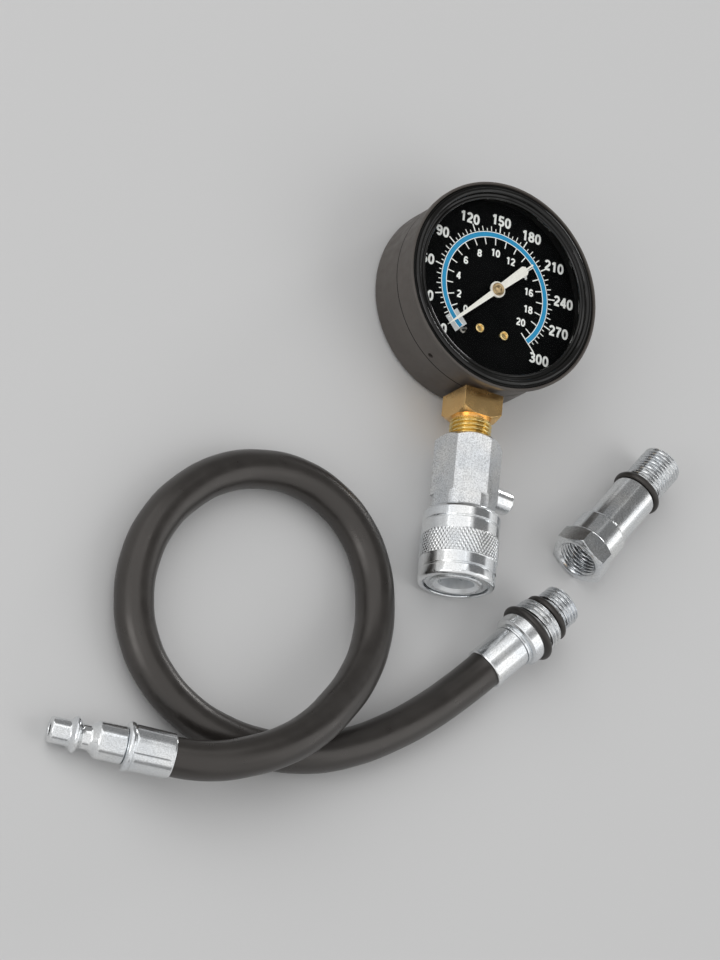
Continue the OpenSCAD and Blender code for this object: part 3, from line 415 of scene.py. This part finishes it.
NODE_LOOKS = {
    "case": ["rear_case", "front_case"],
    "bezel": ["bezel_ring"],
    "gap": ["face_ring"],
    "dial": ["dial_plate"],
    "lens": ["lens"],
    "white": ["pointer"],
    "brass": ["bourdon_tube", "tube_tip", "movement_base", "movement_pillars", "movement_top", "hairspring",
              "pinion_shaft", "sector_gear", "link", "button_valve", "valve_core", "core_pin", "dial_screws"],
    "dull_brass": ["pointer_hub"],
    "dull_steel": ["stop_pin"],
    "stem_brass": ["socket"],
    "coupler_zinc": ["coupler_back", "coupler_front"],
    "zinc": ["release_button"],
    "plug_zinc": ["plug", "plug_ferrule"],
    "fitting_zinc": ["hose_fitting", "fitting_ferrule"],
    "adapter_zinc": ["adapter"],
    "sleeve_zinc": ["sleeve"],
    "steel": ["coupler_poppet", "poppet_spring", "sleeve_spring", "button_spring", "core_spring"],
    "ring_zinc": ["sleeve_ring", "ball_1", "ball_2", "ball_3", "ball_4"],
    "seal": ["nose_seal", "oring_m18", "oring_m14", "adapter_oring"],
    "hose": ["hose", "hose_ends"],
}
SMOOTH_BELOW = math.radians(32)


def paint(piece, look):
    piece.data.materials.clear()
    piece.data.materials.append(LOOKS[look])


def smooth(mesh):
    mesh.shade_smooth()
    mesh.set_sharp_from_angle(angle=SMOOTH_BELOW)


def dress_nodes():
    for look, names in NODE_LOOKS.items():
        for name in names:
            paint(nodes[name], look)
            smooth(nodes[name].data)


dress_nodes()
paint(hose, "hose")


# Turned pieces
STRAIGHT_ABOVE = math.radians(172)
# Most of an edge that one rounded corner may take
EDGE_SHARE = 0.45
FULL_TURN = 2 * math.pi
DIAL_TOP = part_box("dial_plate")[1].z / MM
# A thread's flat crest and its flank, as shares of half its pitch
CREST, FLANK = 0.16, 0.6


def cleaned(mesh, merge=0.0):
    """Joins points that are closer than merge metres, and turns the faces outwards."""
    work = bmesh.new()
    work.from_mesh(mesh)
    if merge:
        bmesh.ops.remove_doubles(work, verts=work.verts, dist=merge)
    bmesh.ops.recalc_face_normals(work, faces=work.faces)
    work.to_mesh(mesh)
    work.free()


def new_piece(name, mesh, look, body, slot, stands_for=()):
    """Links a mesh whose points are already in place, gives it its look and lets it ride on its body."""
    smooth(mesh)
    piece = bpy.data.objects.new(name, mesh)
    bpy.context.scene.collection.objects.link(piece)
    paint(piece, look)
    piece.modifiers.new("flat_faces", "WEIGHTED_NORMAL").keep_sharp = True
    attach(piece, body)
    if stands_for:
        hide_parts(*stands_for)
    return piece


def rounded(loop, radius, steps=3):
    """Rounds the corners of a closed outline of (along, out) points, by less where an edge is short."""
    result = []
    for i, point in enumerate(loop):
        corner = Vector(point)
        before, after = Vector(loop[i - 1]) - corner, Vector(loop[(i + 1) % len(loop)]) - corner
        straight = before.length < 1e-6 or after.length < 1e-6 or before.angle(after) > STRAIGHT_ABOVE
        on_axis = corner.y < 0.01
        if straight or on_axis:
            result.append(tuple(corner))
            continue
        start = corner + before.normalized() * min(radius, before.length * EDGE_SHARE)
        end = corner + after.normalized() * min(radius, after.length * EDGE_SHARE)
        for k in range(steps + 1):
            w = k / steps
            result.append(tuple(start * (1 - w) ** 2 + corner * 2 * w * (1 - w) + end * w ** 2))
    return result


def dense(loop, start, end, step):
    """Adds points to the outline's long edges where they pass between start and end."""
    result = []
    for i, (t, r) in enumerate(loop):
        result.append((t, r))
        t2, r2 = loop[(i + 1) % len(loop)]
        low, high = max(min(t, t2), start), min(max(t, t2), end)
        if high - low > step:
            stops = np.linspace(low, high, int((high - low) / step) + 2)
            for stop in stops if t2 > t else stops[::-1]:
                w = (stop - t) / (t2 - t)
                if 0.001 < w < 0.999:
                    result.append((float(stop), r + (r2 - r) * w))
    return result


def lathe(name, at, loop, cuts=(), sides=96, form=None, **piece):
    """Turns a closed outline of (along, out) points about the z of the frame at.

    form and then each cut may change the radii. How much the cuts change them is kept in the attribute
    hollow, from 0 to 1.
    """
    t, r = np.array(loop).T[:, :, None]
    angle = np.linspace(0, FULL_TURN, sides, endpoint=False)[None, :]
    t, angle, r = np.broadcast_arrays(t, angle, r)
    if form:
        r = form(t, angle, r)
    uncut = r
    for cut in cuts:
        r = cut(t, angle, r)
    # How deep the cuts go, where the metals' colours are darkened with dirt and painted shade
    change = np.abs(r - uncut)
    hollow = change / max(change.max(), 1e-6)
    points = np.stack([r * np.cos(angle), r * np.sin(angle), t], -1).reshape(-1, 3)
    points = (points @ np.array(at.to_3x3()).T + np.array(at.translation)) * MM
    here = np.arange(len(loop))[:, None] * sides + np.arange(sides)[None, :]
    up = np.roll(here, -1, 0)
    quads = np.stack([here, np.roll(here, -1, 1), np.roll(up, -1, 1), up], -1).reshape(-1, 4)
    mesh = bpy.data.meshes.new(name)
    mesh.from_pydata(points.tolist(), [], quads.tolist())
    mesh.attributes.new("hollow", "FLOAT", "POINT").data.foreach_set("value", hollow.reshape(-1))
    cleaned(mesh, 1e-7)
    return new_piece(name, mesh, **piece)


def tooth(t, angle, pitch):
    """Share of a thread's depth at a place, from 0 on its crest to 1 in its root; right-handed."""
    turn = (t / pitch - angle / FULL_TURN) % 1
    return np.clip((np.abs(2 * turn - 1) - CREST) / FLANK, 0, 1)


def outer_thread(crest_r, pitch, depth, start, end, taper=0.0, taper_from=0.0):
    """A thread on the outside between start and end.

    From taper_from on, its radius falls by taper per millimetre.
    """
    def cut(t, angle, r):
        crest = crest_r - (t - taper_from) * taper
        return np.where((t > start) & (t < end), np.minimum(r, crest - depth * tooth(t, angle, pitch)), r)
    return cut


def inner_thread(root_r, pitch, depth, start, end):
    """A thread in a bore between start and end."""
    def cut(t, angle, r):
        wall = np.maximum(r, root_r - depth + depth * tooth(t, angle, pitch))
        return np.where((t > start) & (t < end), wall, r)
    return cut


def hexagon(across_flats, start, end):
    """Six flats between start and end."""
    def form(t, angle, r):
        flat = across_flats / 2 / np.cos((angle + math.pi / 6) % (math.pi / 3) - math.pi / 6)
        return np.where((t > start) & (t < end), np.minimum(r, flat), r)
    return form


def knurl(count, pitch, depth, start, end, above):
    """Diamond knurl of small pyramids on what stands out further than above, between start and end."""
    def wave(x):
        return 1 - np.abs(2 * (x % 1) - 1)

    def cut(t, angle, r):
        u, v = angle * count / FULL_TURN, t / pitch
        height = np.minimum(np.minimum(wave(u + v), wave(u - v)) * 1.4, 1)
        fade = np.clip(np.minimum(t - start, end - t) / 0.3, 0, 1)
        return np.where(r > above, r - depth * (1 - height) * fade, r)
    return cut


def groove(centre, half_width, depth, start, end, above):
    """A shallow straight groove along the outside at one angle."""
    def cut(t, angle, r):
        off = np.abs((angle - centre + math.pi) % FULL_TURN - math.pi) * r
        shape = np.clip(1 - off / half_width, 0, 1)
        return np.where((t > start) & (t < end) & (r > above), r - depth * shape, r)
    return cut


def make_sleeve():
    """The coupler's pull-back sleeve with its grooves and knurled band."""
    outside, knurl_out, start, end = 12.4, 0.15, 74.6, 99.0
    knurl_start, knurl_end = 83.6, 91.2
    relief, land, groove_r = 10.6, 8.7, outside - 0.35
    loop = [
        (start, 10.4), (start, 10.8), (start + 0.9, outside - 0.5), (start + 1.7, outside),
        (start + 4.4, outside), (start + 4.55, groove_r), (start + 5.0, groove_r), (start + 5.15, outside),
        (knurl_start - 0.3, outside), (knurl_start, outside + knurl_out),
        (knurl_end, outside + knurl_out), (knurl_end + 0.3, outside),
        (end - 4.2, outside), (end - 4.05, groove_r), (end - 3.6, groove_r), (end - 3.45, outside),
        (end - 1.1, outside), (end - 0.7, outside - 0.07), (end - 0.32, outside - 0.32),
        (end - 0.07, outside - 0.7), (end, outside - 1.1), (end, relief + 0.3), (end - 0.3, relief),
        # Inside: the lip at the stop ring, the ramp and the land over the balls, and the spring's skirt
        (97.45, relief), (97.45, land + 0.05), (96.7, land + 0.05), (96.7, relief),
        (93.98, relief), (89.9, land), (84.0, land), (84.0, 10.4),
    ]
    loop = dense(rounded(loop, 0.12), knurl_start - 0.3, knurl_end + 0.3, 0.17)
    diamonds = knurl(62, 1.95, 0.24, knurl_start - 0.2, knurl_end + 0.2, above=12.0)
    lathe("sleeve_knurled", STEM, loop, [diamonds], 372,
          look="sleeve_zinc", body="sleeve", slot="zinc_steel", stands_for=["sleeve"])


def make_fitting():
    """The hose's end fitting with the M18 and M14 threads."""
    m18_r, m14_r, length = 8.95, 6.95, 36.8
    tail_r, collar_r, passage_r, bore_r = 2.75, 8.8, 1.9, 2.6
    loop = [
        (0.2, passage_r), (0.2, tail_r), (13.2, tail_r), (13.2, 7.45), (13.9, 7.45), (14.05, 7.1),
        (14.45, 7.1), (14.6, 7.9), (15.2, collar_r), (18.85, collar_r), (18.85, 7.65), (21.35, 7.65),
        (21.35, 8.4), (21.9, m18_r), (26.3, m18_r), (27.1, 7.9), (27.1, 6.0), (29.9, 6.0), (30.5, m14_r),
        (length - 0.9, m14_r), (length, m14_r - 0.95), (length, bore_r), (25.0, bore_r), (25.0, passage_r),
    ]
    loop = dense(dense(rounded(loop, 0.12), 21.4, 27.0, 0.14), 30.0, length, 0.12)
    threads = [outer_thread(m18_r, 1.5, 0.85, 21.3, 27.05), outer_thread(m14_r, 1.25, 0.72, 29.95, length)]
    lathe("fitting_threaded", FITTING, loop, threads,
          look="fitting_zinc", body="hose_set", slot="zinc_steel", stands_for=["hose_fitting"])


def make_adapter():
    """The long reach adapter: chamfered hexagon with a threaded bore, shoulder, sleeve and thread."""
    flats, sleeve_r, m14_r, bore_r, length = 17.5, 7.55, 6.95, 6.3, 51.8
    shoulder_r, relief, thread = flats / 2 - 0.12, 34.5, 37.0
    blank_r, hexagon_end, shoulder_end = 10.25, 7.0, 14.9
    loop = [
        # The crowned edge round the bore's mouth
        (0.3, 6.95), (0.06, 7.35), (0, 7.75), (0.08, 8.15), (0.3, flats / 2 - 0.2),
        (0.95, blank_r), (5.85, blank_r), (hexagon_end, shoulder_r), (shoulder_end, shoulder_r),
        (16.0, sleeve_r), (relief - 0.3, sleeve_r), (relief, m14_r - 0.8), (thread, m14_r - 0.8),
        (thread + 0.5, m14_r), (length - 0.9, m14_r), (length, m14_r - 1),
        # The passage and the threaded bore
        (length, 2.8), (17.9, 2.8), (15.8, bore_r), (0.9, bore_r),
    ]
    loop = dense(rounded(loop, 0.1), 0, hexagon_end, 0.13)
    loop = dense(dense(loop, hexagon_end, shoulder_end, 0.13), thread + 0.1, length, 0.12)
    threads = [
        outer_thread(m14_r, 1.25, 0.72, thread + 0.05, length),
        inner_thread(m14_r, 1.25, 0.65, 0.25, 15.2),
    ]
    lathe("adapter_threaded", ADAPTER, loop, threads, form=hexagon(flats, -1, hexagon_end + 0.05),
          look="adapter_zinc", body="adapter_set", slot="zinc_steel", stands_for=["adapter"])


def angle_to_camera(at):
    """The angle about the frame's z, from its x, of the side that faces the camera."""
    return math.atan2(TO_CAMERA.dot(at.col[1].to_3d()), TO_CAMERA.dot(at.col[0].to_3d()))


def make_plug():
    """The quick plug with its rounded flange, and its ferrule with the crimp's seam."""
    nose, flange, neck, body, end = 4.05, 5.65, 3.9, 5.85, 23.3
    passage_r, tail_r = 2, 2.75
    loop = [
        (0, passage_r), (0, nose - 0.5), (0.5, nose), (6.1, nose), (7.05, flange - 0.45), (7.5, flange - 0.1),
        (7.9, flange), (8.3, flange - 0.1), (8.75, flange - 0.45), (9.9, neck), (12.5, neck),
        (14.6, body - 0.2), (15.0, body), (end, body), (end, tail_r), (PLUG_LEN - 0.2, tail_r),
        (PLUG_LEN - 0.2, passage_r),
    ]
    lathe("plug_turned", PLUG, rounded(loop, 0.45, 5),
          look="plug_zinc", body="hose_set", slot="zinc_steel", stands_for=["plug"])
    over_tail, over_hose = 2.85, 6.25
    loop = [
        (end + 0.05, over_tail), (end + 0.05, 6.4), (end + 0.15, 7.0), (end + 0.6, 7.6), (end + 1.3, 7.75),
        (end + 2.0, 7.6), (end + 2.4, 7.1), (end + 2.8, 7.25), (end + 6, 7.15), (PLUG_LEN - 0.3, 7.0),
        (PLUG_LEN, 6.8), (PLUG_LEN, over_hose), (end + 2.85, over_hose), (end + 2.85, over_tail),
    ]
    loop = dense(rounded(loop, 0.4, 5), end + 2.2, PLUG_LEN, 1.0)
    seam_angle = angle_to_camera(PLUG) + math.radians(8)
    seam = groove(seam_angle, 0.32, 0.22, end + 2.3, PLUG_LEN - 0.8, above=6.6)
    lathe("plug_ferrule_crimped", PLUG, loop, [seam], 288,
          look="plug_zinc", body="hose_set", slot="zinc_steel", stands_for=["plug_ferrule"])


def make_stem():
    """The brass socket: its block as in the frame, cut where the tapered thread starts, and that thread."""
    cut_at, pipe_r, end = 43.45, 6.85, 57.0
    passage_r, taper_from, taper, depth, pitch = 1.6, 44, 1 / 32, 0.9, 25.4 / 18
    block = nodes["socket"].data.copy()
    work = bmesh.new()
    work.from_mesh(block)
    bmesh.ops.remove_doubles(work, verts=work.verts, dist=1e-6)
    plane = (STEM @ Vector((0, 0, cut_at))) * MM
    geometry = [*work.verts, *work.edges, *work.faces]
    sliced = bmesh.ops.bisect_plane(work, geom=geometry, plane_co=plane, plane_no=STEM.col[2].to_3d(),
                                    clear_outer=True)
    rim = [e for e in sliced["geom_cut"] if isinstance(e, bmesh.types.BMEdge)]
    bmesh.ops.triangle_fill(work, edges=rim, use_beauty=True)
    bmesh.ops.recalc_face_normals(work, faces=work.faces)
    work.to_mesh(block)
    work.free()
    block.attributes.remove(block.attributes["custom_normal"])
    new_piece("socket_block", block, "stem_brass", "gauge", "brass", ["socket"])
    loop = [
        (cut_at, passage_r), (cut_at, 6.2), (43.5, 6.2), (44.1, pipe_r), (end - 0.8, pipe_r - 0.35),
        (end, 5.7), (end, passage_r),
    ]
    loop = dense(rounded(loop, 0.1), 43.5, end, 0.13)
    thread = outer_thread(pipe_r, pitch, depth, cut_at + 0.02, end + 1, taper, taper_from)
    lathe("socket_thread", STEM, loop, [thread], look="thread_brass", body="gauge", slot="brass")


def make_screws():
    """The dial's two screws: a rolled rim round a dished head."""
    rim_r, screw_x, screw_y = 1.65, 4.6, -14.4
    loop = [
        (0.01, 0), (0.01, rim_r - 0.1), (0.4, rim_r), (0.65, rim_r - 0.03), (0.88, rim_r - 0.16),
        (1.0, rim_r - 0.36), (0.95, rim_r - 0.55), (0.75, rim_r - 0.7), (0.5, rim_r - 0.76),
        (0.55, 0.35), (0.62, 0),
    ]
    for name, x in (("screw_left", -screw_x), ("screw_right", screw_x)):
        lathe(name, Matrix.Translation((x, screw_y, DIAL_TOP)), loop, sides=40,
              look="screw_brass", body="gauge", slot="brass", stands_for=["dial_screws"])


def make_seam():
    """The dark gap where the case's two shells meet."""
    seam_z, case_r, width, depth = 14.6, 33.5, 0.34, 0.4
    r = case_r - 0.03
    loop = [(-width / 2, r - depth), (-width / 2, r), (width / 2, r), (width / 2, r - depth)]
    lathe("case_seam", Matrix.Translation((0, 0, seam_z)), loop, sides=180,
          look="gap", body="gauge", slot="case_black")


make_sleeve()
make_fitting()
make_adapter()
make_plug()
make_stem()
make_screws()
make_seam()


# Dial print: places from the dial's centre, and angles in degrees from +X
INK, INK_FOOT, HAIR = 0.03, 0.005, 0.002
ZERO_ANGLE, FULL_SWEEP = 225.0, 270.0
OUTER_STEPS, INNER_STEPS, INNER_STEP_ANGLE = 60, 20, 13.05
TICK_FOOT, SHORT_REACH, MIDDLE_REACH, LONG_REACH = 20.4, 21.3, 22.0, 23.0
END_TICK, INNER_TICK = (15.9, 23.4), (15.8, 18.1)
THIN_TICK, INNER_TICK_W, WIDE_TICK = 0.3, 0.36, 0.42
BAND_R, BAND_W, EDGE_W, BAND_BEFORE_ZERO = 19.2, 1.5, 0.28, 9
ZERO_BOX, ZERO_BOX_W = [(-15.2, -15.85), (-11.25, -12.0)], 5.9
OUTER_SIZE, INNER_SIZE = 3.5, 2.5
OUTER_NUMBERS = {
    "0": (-17.55, -18.3), "30": (-24.85, -8.6), "60": (-25.8, 3.8), "90": (-21.3, 14.55),
    "120": (-11.7, 22.3), "150": (0.1, 24.6), "180": (11.9, 22.6), "210": (21.4, 14.95),
    "240": (26.05, 3.7), "270": (25.15, -6.95), "300": (18.7, -18.3),
}
INNER_NUMBERS = {
    "0": (-10.2, -9.2), "2": (-13.1, -4.75), "4": (-13.9, 1.4), "6": (-11.7, 7.35), "8": (-6.9, 11.3),
    "10": (-1.0, 13.1), "12": (4.9, 11.95), "14": (9.9, 8.6), "16": (12.7, 3.5), "18": (13.0, -2.5),
    "20": (10.7, -7.6),
}


def polar(r, degrees):
    return (r * math.cos(math.radians(degrees)), r * math.sin(math.radians(degrees)))


def dial_angle(share):
    """The angle on the dial at a share of full scale."""
    return ZERO_ANGLE - FULL_SWEEP * share


def arc_line(r, start, end, steps=160):
    return [polar(r, a) for a in np.linspace(start, end, steps + 1)]


def tick(share, r0, r1):
    return [polar(r0, dial_angle(share)), polar(r1, dial_angle(share))]


def bow(x, y, rx, ry, start, end, steps=16):
    """Points on an ellipse about x, y, from angle start to end."""
    return [(x + rx * math.cos(math.radians(a)), y + ry * math.sin(math.radians(a)))
            for a in np.linspace(start, end, steps + 1)]


def ring_line(x, y, rx, ry, steps=24):
    """A closed, slightly square ellipse: its first point comes again at its end."""
    points = []
    for a in np.linspace(0, FULL_TURN, steps + 1):
        c, s = math.cos(a), math.sin(a)
        points.append((x + rx * math.copysign(abs(c) ** 0.9, c), y + ry * math.copysign(abs(s) ** 0.9, s)))
    return points


# Each figure's pen strokes, in a cell one unit high and CELL_W wide. WIDEN stretches it.
CELL_W, CELL_GAP, PEN_W, WIDEN = 0.6, 0.08, 0.22, 1.06
SIX = [ring_line(0.3, 0.295, 0.215, 0.21), bow(0.3, 0.5, 0.215, 0.415, 200, 40)]
STROKES = {
    "0": [ring_line(0.3, 0.5, 0.215, 0.415)],
    "1": [[(0.35, 0), (0.35, 1)], [(0.1, 0.76), (0.21, 0.8), (0.31, 0.93)]],
    "2": [bow(0.3, 0.7, 0.205, 0.215, 170, -20) + [(0.42, 0.5), (0.2, 0.25), (0.115, 0.09)],
          [(0.04, 0.085), (0.56, 0.085)]],
    "3": [bow(0.28, 0.72, 0.195, 0.195, 155, -90) + [(0.21, 0.525)],
          [(0.21, 0.51)] + bow(0.28, 0.3, 0.225, 0.215, 90, -155)],
    "4": [[(0.42, 0), (0.42, 1)], [(0.39, 0.93), (0.08, 0.3)], [(0.01, 0.28), (0.59, 0.28)]],
    "5": [[(0.12, 0.915), (0.54, 0.915)], [(0.15, 0.95), (0.11, 0.47)],
          bow(0.29, 0.315, 0.225, 0.23, 145, -155)],
    "6": SIX,
    "7": [[(0.04, 0.915), (0.57, 0.915)], [(0.49, 0.86), (0.35, 0.6), (0.26, 0.3), (0.23, 0)]],
    "8": [ring_line(0.3, 0.735, 0.18, 0.18), ring_line(0.3, 0.295, 0.215, 0.21)],
    "9": [[(CELL_W - x, 1 - y) for x, y in line] for line in SIX],
}


def written(text, centre, height):
    """The strokes of a number about its centre, each with its width."""
    lines, x = [], 0.0
    for figure in text:
        lines += [[(x + px * WIDEN, py) for px, py in line] for line in STROKES[figure]]
        x += CELL_W * WIDEN + CELL_GAP
    middle, centre = Vector(((x - CELL_GAP) / 2, 0.5)), Vector(centre)
    return [([(Vector(p) - middle) * height + centre for p in line], PEN_W * height) for line in lines]


def ribbon(line, width, low, high):
    """Corners and faces of a flat ribbon along a line; it closes on itself where the line does."""
    p = np.array([tuple(point) for point in line], float)
    closed = len(p) > 2 and np.allclose(p[0], p[-1])
    if closed:
        p = p[:-1]
        along = np.roll(p, -1, 0) - np.roll(p, 1, 0)
    else:
        along = np.gradient(p, axis=0)
    side = np.stack([-along[:, 1], along[:, 0]], 1) * width / 2 / np.linalg.norm(along, axis=1)[:, None]
    count = len(p)
    corners = [(x, y, z) for z in (low, high) for edge in (p + side, p - side) for x, y in edge]
    faces = []
    for i in range(count if closed else count - 1):
        n = (i + 1) % count
        for a, b in ((0, 1), (1, 3), (3, 2), (2, 0)):
            faces.append([a * count + i, b * count + i, b * count + n, a * count + n])
    if not closed:
        faces += [[k * count + i for k in (0, 1, 3, 2)] for i in (0, count - 1)]
    return corners, faces


def print_piece(name, lines, look, height=INK):
    """Raised ink along lines of (points, width); lines next to each other differ by a hair in height."""
    points, faces = [], []
    for i, (line, width) in enumerate(lines):
        top = height + HAIR * (i % 4)
        corners, sides = ribbon(line, width, DIAL_TOP + INK_FOOT, DIAL_TOP + top)
        faces += [[len(points) + k for k in face] for face in sides]
        points += [tuple(c * MM for c in corner) for corner in corners]
    mesh = bpy.data.meshes.new(name)
    mesh.from_pydata(points, [], faces)
    cleaned(mesh)
    new_piece(name, mesh, look, "gauge", "dial")


def make_dial_print():
    ticks = []
    for k in range(1, OUTER_STEPS):
        numbered = k % 6 == 0
        reach = LONG_REACH if numbered else MIDDLE_REACH if k % 2 == 0 else SHORT_REACH
        ticks.append((tick(k / OUTER_STEPS, TICK_FOOT, reach), WIDE_TICK if numbered else THIN_TICK))
    ticks.append((tick(1.0, *END_TICK), WIDE_TICK))
    inner_step = INNER_STEP_ANGLE / FULL_SWEEP
    ticks += [(tick(k * inner_step, *INNER_TICK), INNER_TICK_W) for k in range(1, INNER_STEPS + 1)]
    print_piece("dial_ticks", ticks, "ink")
    start, end = dial_angle(-BAND_BEFORE_ZERO / FULL_SWEEP), dial_angle(1.0)
    edges = [BAND_R + side * (BAND_W + EDGE_W) / 2 for side in (-1, 1)]
    print_piece("band_edges", [(arc_line(r, start, end), EDGE_W) for r in edges], "ink")
    print_piece("blue_band", [(arc_line(BAND_R, start, end), BAND_W)], "blue", INK * 1.5)
    print_piece("zero_box", [(ZERO_BOX, ZERO_BOX_W)], "box", INK * 0.5)
    rings = (("outer_numbers", OUTER_NUMBERS, OUTER_SIZE), ("inner_numbers", INNER_NUMBERS, INNER_SIZE))
    for name, places, size in rings:
        lines = []
        for text, centre in places.items():
            lines += written(text, centre, size)
        print_piece(name, lines, "ink")


make_dial_print()


# Floor, lamps and world, all in metres
FLOOR_HALF = 3.0
FLOOR_Z = -0.00002
FLOOR_SHADE = 0.62
CENTRE = Vector((-0.02, -0.07, 0.01))


def towards(azimuth, elevation):
    """The unit vector towards an azimuth from +X and an elevation, both in degrees."""
    a, e = math.radians(azimuth), math.radians(elevation)
    return Vector((math.cos(a) * math.cos(e), math.sin(a) * math.cos(e), math.sin(e)))


# Towards the lamps
LEFT, RIGHT, LOW_LEFT, RIM = towards(148, 46), towards(-14, 40), towards(200, 25), towards(45, 12)

# The world's brightness. AMBIENT lights matt surfaces, and BACKDROP shows past the floor. What metal mirrors
# grows from SKY_LOW to SKY_HIGH as the mirrored direction's z goes from SKY_FROM to SKY_TO.
AMBIENT, BACKDROP = 0.5, 0.9
SKY_LOW, SKY_HIGH, SKY_FROM, SKY_TO = 0.6, 0.92, 0.05, 0.5
# Most that metal mirrors outside the dark sides
OPEN_SIDE = 0.9
# Where the world looks darker to the metal: three dark sides, which give it its bands, and the surroundings
# of three lamps. Each has its direction, its inner and outer half angle in degrees, and its brightness.
DARK_SIDES = [
    (towards(46, 50), 22, 29, 0.19), (towards(93, 23), 22, 33, 0.24), (towards(-80, 8), 6, 14, 0.25),
    (LEFT, 24, 36, 0.05), (RIGHT, 16, 24, 0.1), (RIM, 15, 23, 0.15),
]


def make_floor():
    """A plain pale floor, a hair below the object."""
    mesh = bpy.data.meshes.new("floor")
    corners = [(x * FLOOR_HALF, y * FLOOR_HALF, FLOOR_Z) for x, y in ((-1, -1), (1, -1), (1, 1), (-1, 1))]
    mesh.from_pydata(corners, [], [(0, 1, 2, 3)])
    floor = bpy.data.objects.new("floor", mesh)
    bpy.context.scene.collection.objects.link(floor)
    look, tree, shader, place = new_look("floor_paint", (FLOOR_SHADE,) * 3, 0.6)
    tree.links.new(between(tree, noise(tree, place, 12, 3), 0.55, 0.65), shader.inputs["Roughness"])
    mesh.materials.append(look)


def make_lamp(name, away, distance, size, watts):
    """A square area lamp that looks back at the object's middle."""
    data = bpy.data.lights.new(name, "AREA")
    data.size = size
    data.energy = watts
    lamp = bpy.data.objects.new(name, data)
    lamp.location = CENTRE + away * distance
    lamp.rotation_mode = "QUATERNION"
    lamp.rotation_quaternion = (-away).to_track_quat("-Z", "Y")
    bpy.context.scene.collection.objects.link(lamp)


def make_world():
    """A pale world that metal sees with dark sides; matt surfaces and the camera see it plain."""
    world = bpy.data.worlds.new("studio")
    bpy.context.scene.world = world
    world.use_nodes = True
    tree = world.node_tree
    background = tree.nodes["Background"]
    background.inputs["Color"].default_value = (1, 1, 1, 1)
    direction = add(tree, "TexCoord").outputs["Generated"]
    height = add(tree, "SeparateXYZ", {0: direction}).outputs[2]
    shown = between(tree, height, SKY_LOW, SKY_HIGH, SKY_FROM, SKY_TO)
    for centre, inner, outer, level in DARK_SIDES:
        near = vector_node(tree, "DOT_PRODUCT", direction, centre).outputs["Value"]
        full, none = math.cos(math.radians(inner)), math.cos(math.radians(outer))
        shown = math_node(tree, "MINIMUM", shown, between(tree, near, OPEN_SIDE, level, none, full))
    rays = add(tree, "LightPath").outputs
    mirrored = math_node(tree, "MAXIMUM", rays["Is Glossy Ray"], rays["Is Transmission Ray"])
    level = between(tree, mirrored, AMBIENT, shown)
    strength = between(tree, rays["Is Camera Ray"], level, BACKDROP)
    tree.links.new(strength, background.inputs["Strength"])


make_floor()
make_lamp("left", LEFT, distance=1.6, size=1.8, watts=10.2)
make_lamp("right", RIGHT, distance=1.5, size=1.1, watts=4.3)
make_lamp("low_left", LOW_LEFT, distance=1.5, size=0.8, watts=3.5)
make_lamp("rim", RIM, distance=1.6, size=0.36, watts=2.8)
make_world()
bpy.context.scene.view_settings.view_transform = "Standard"
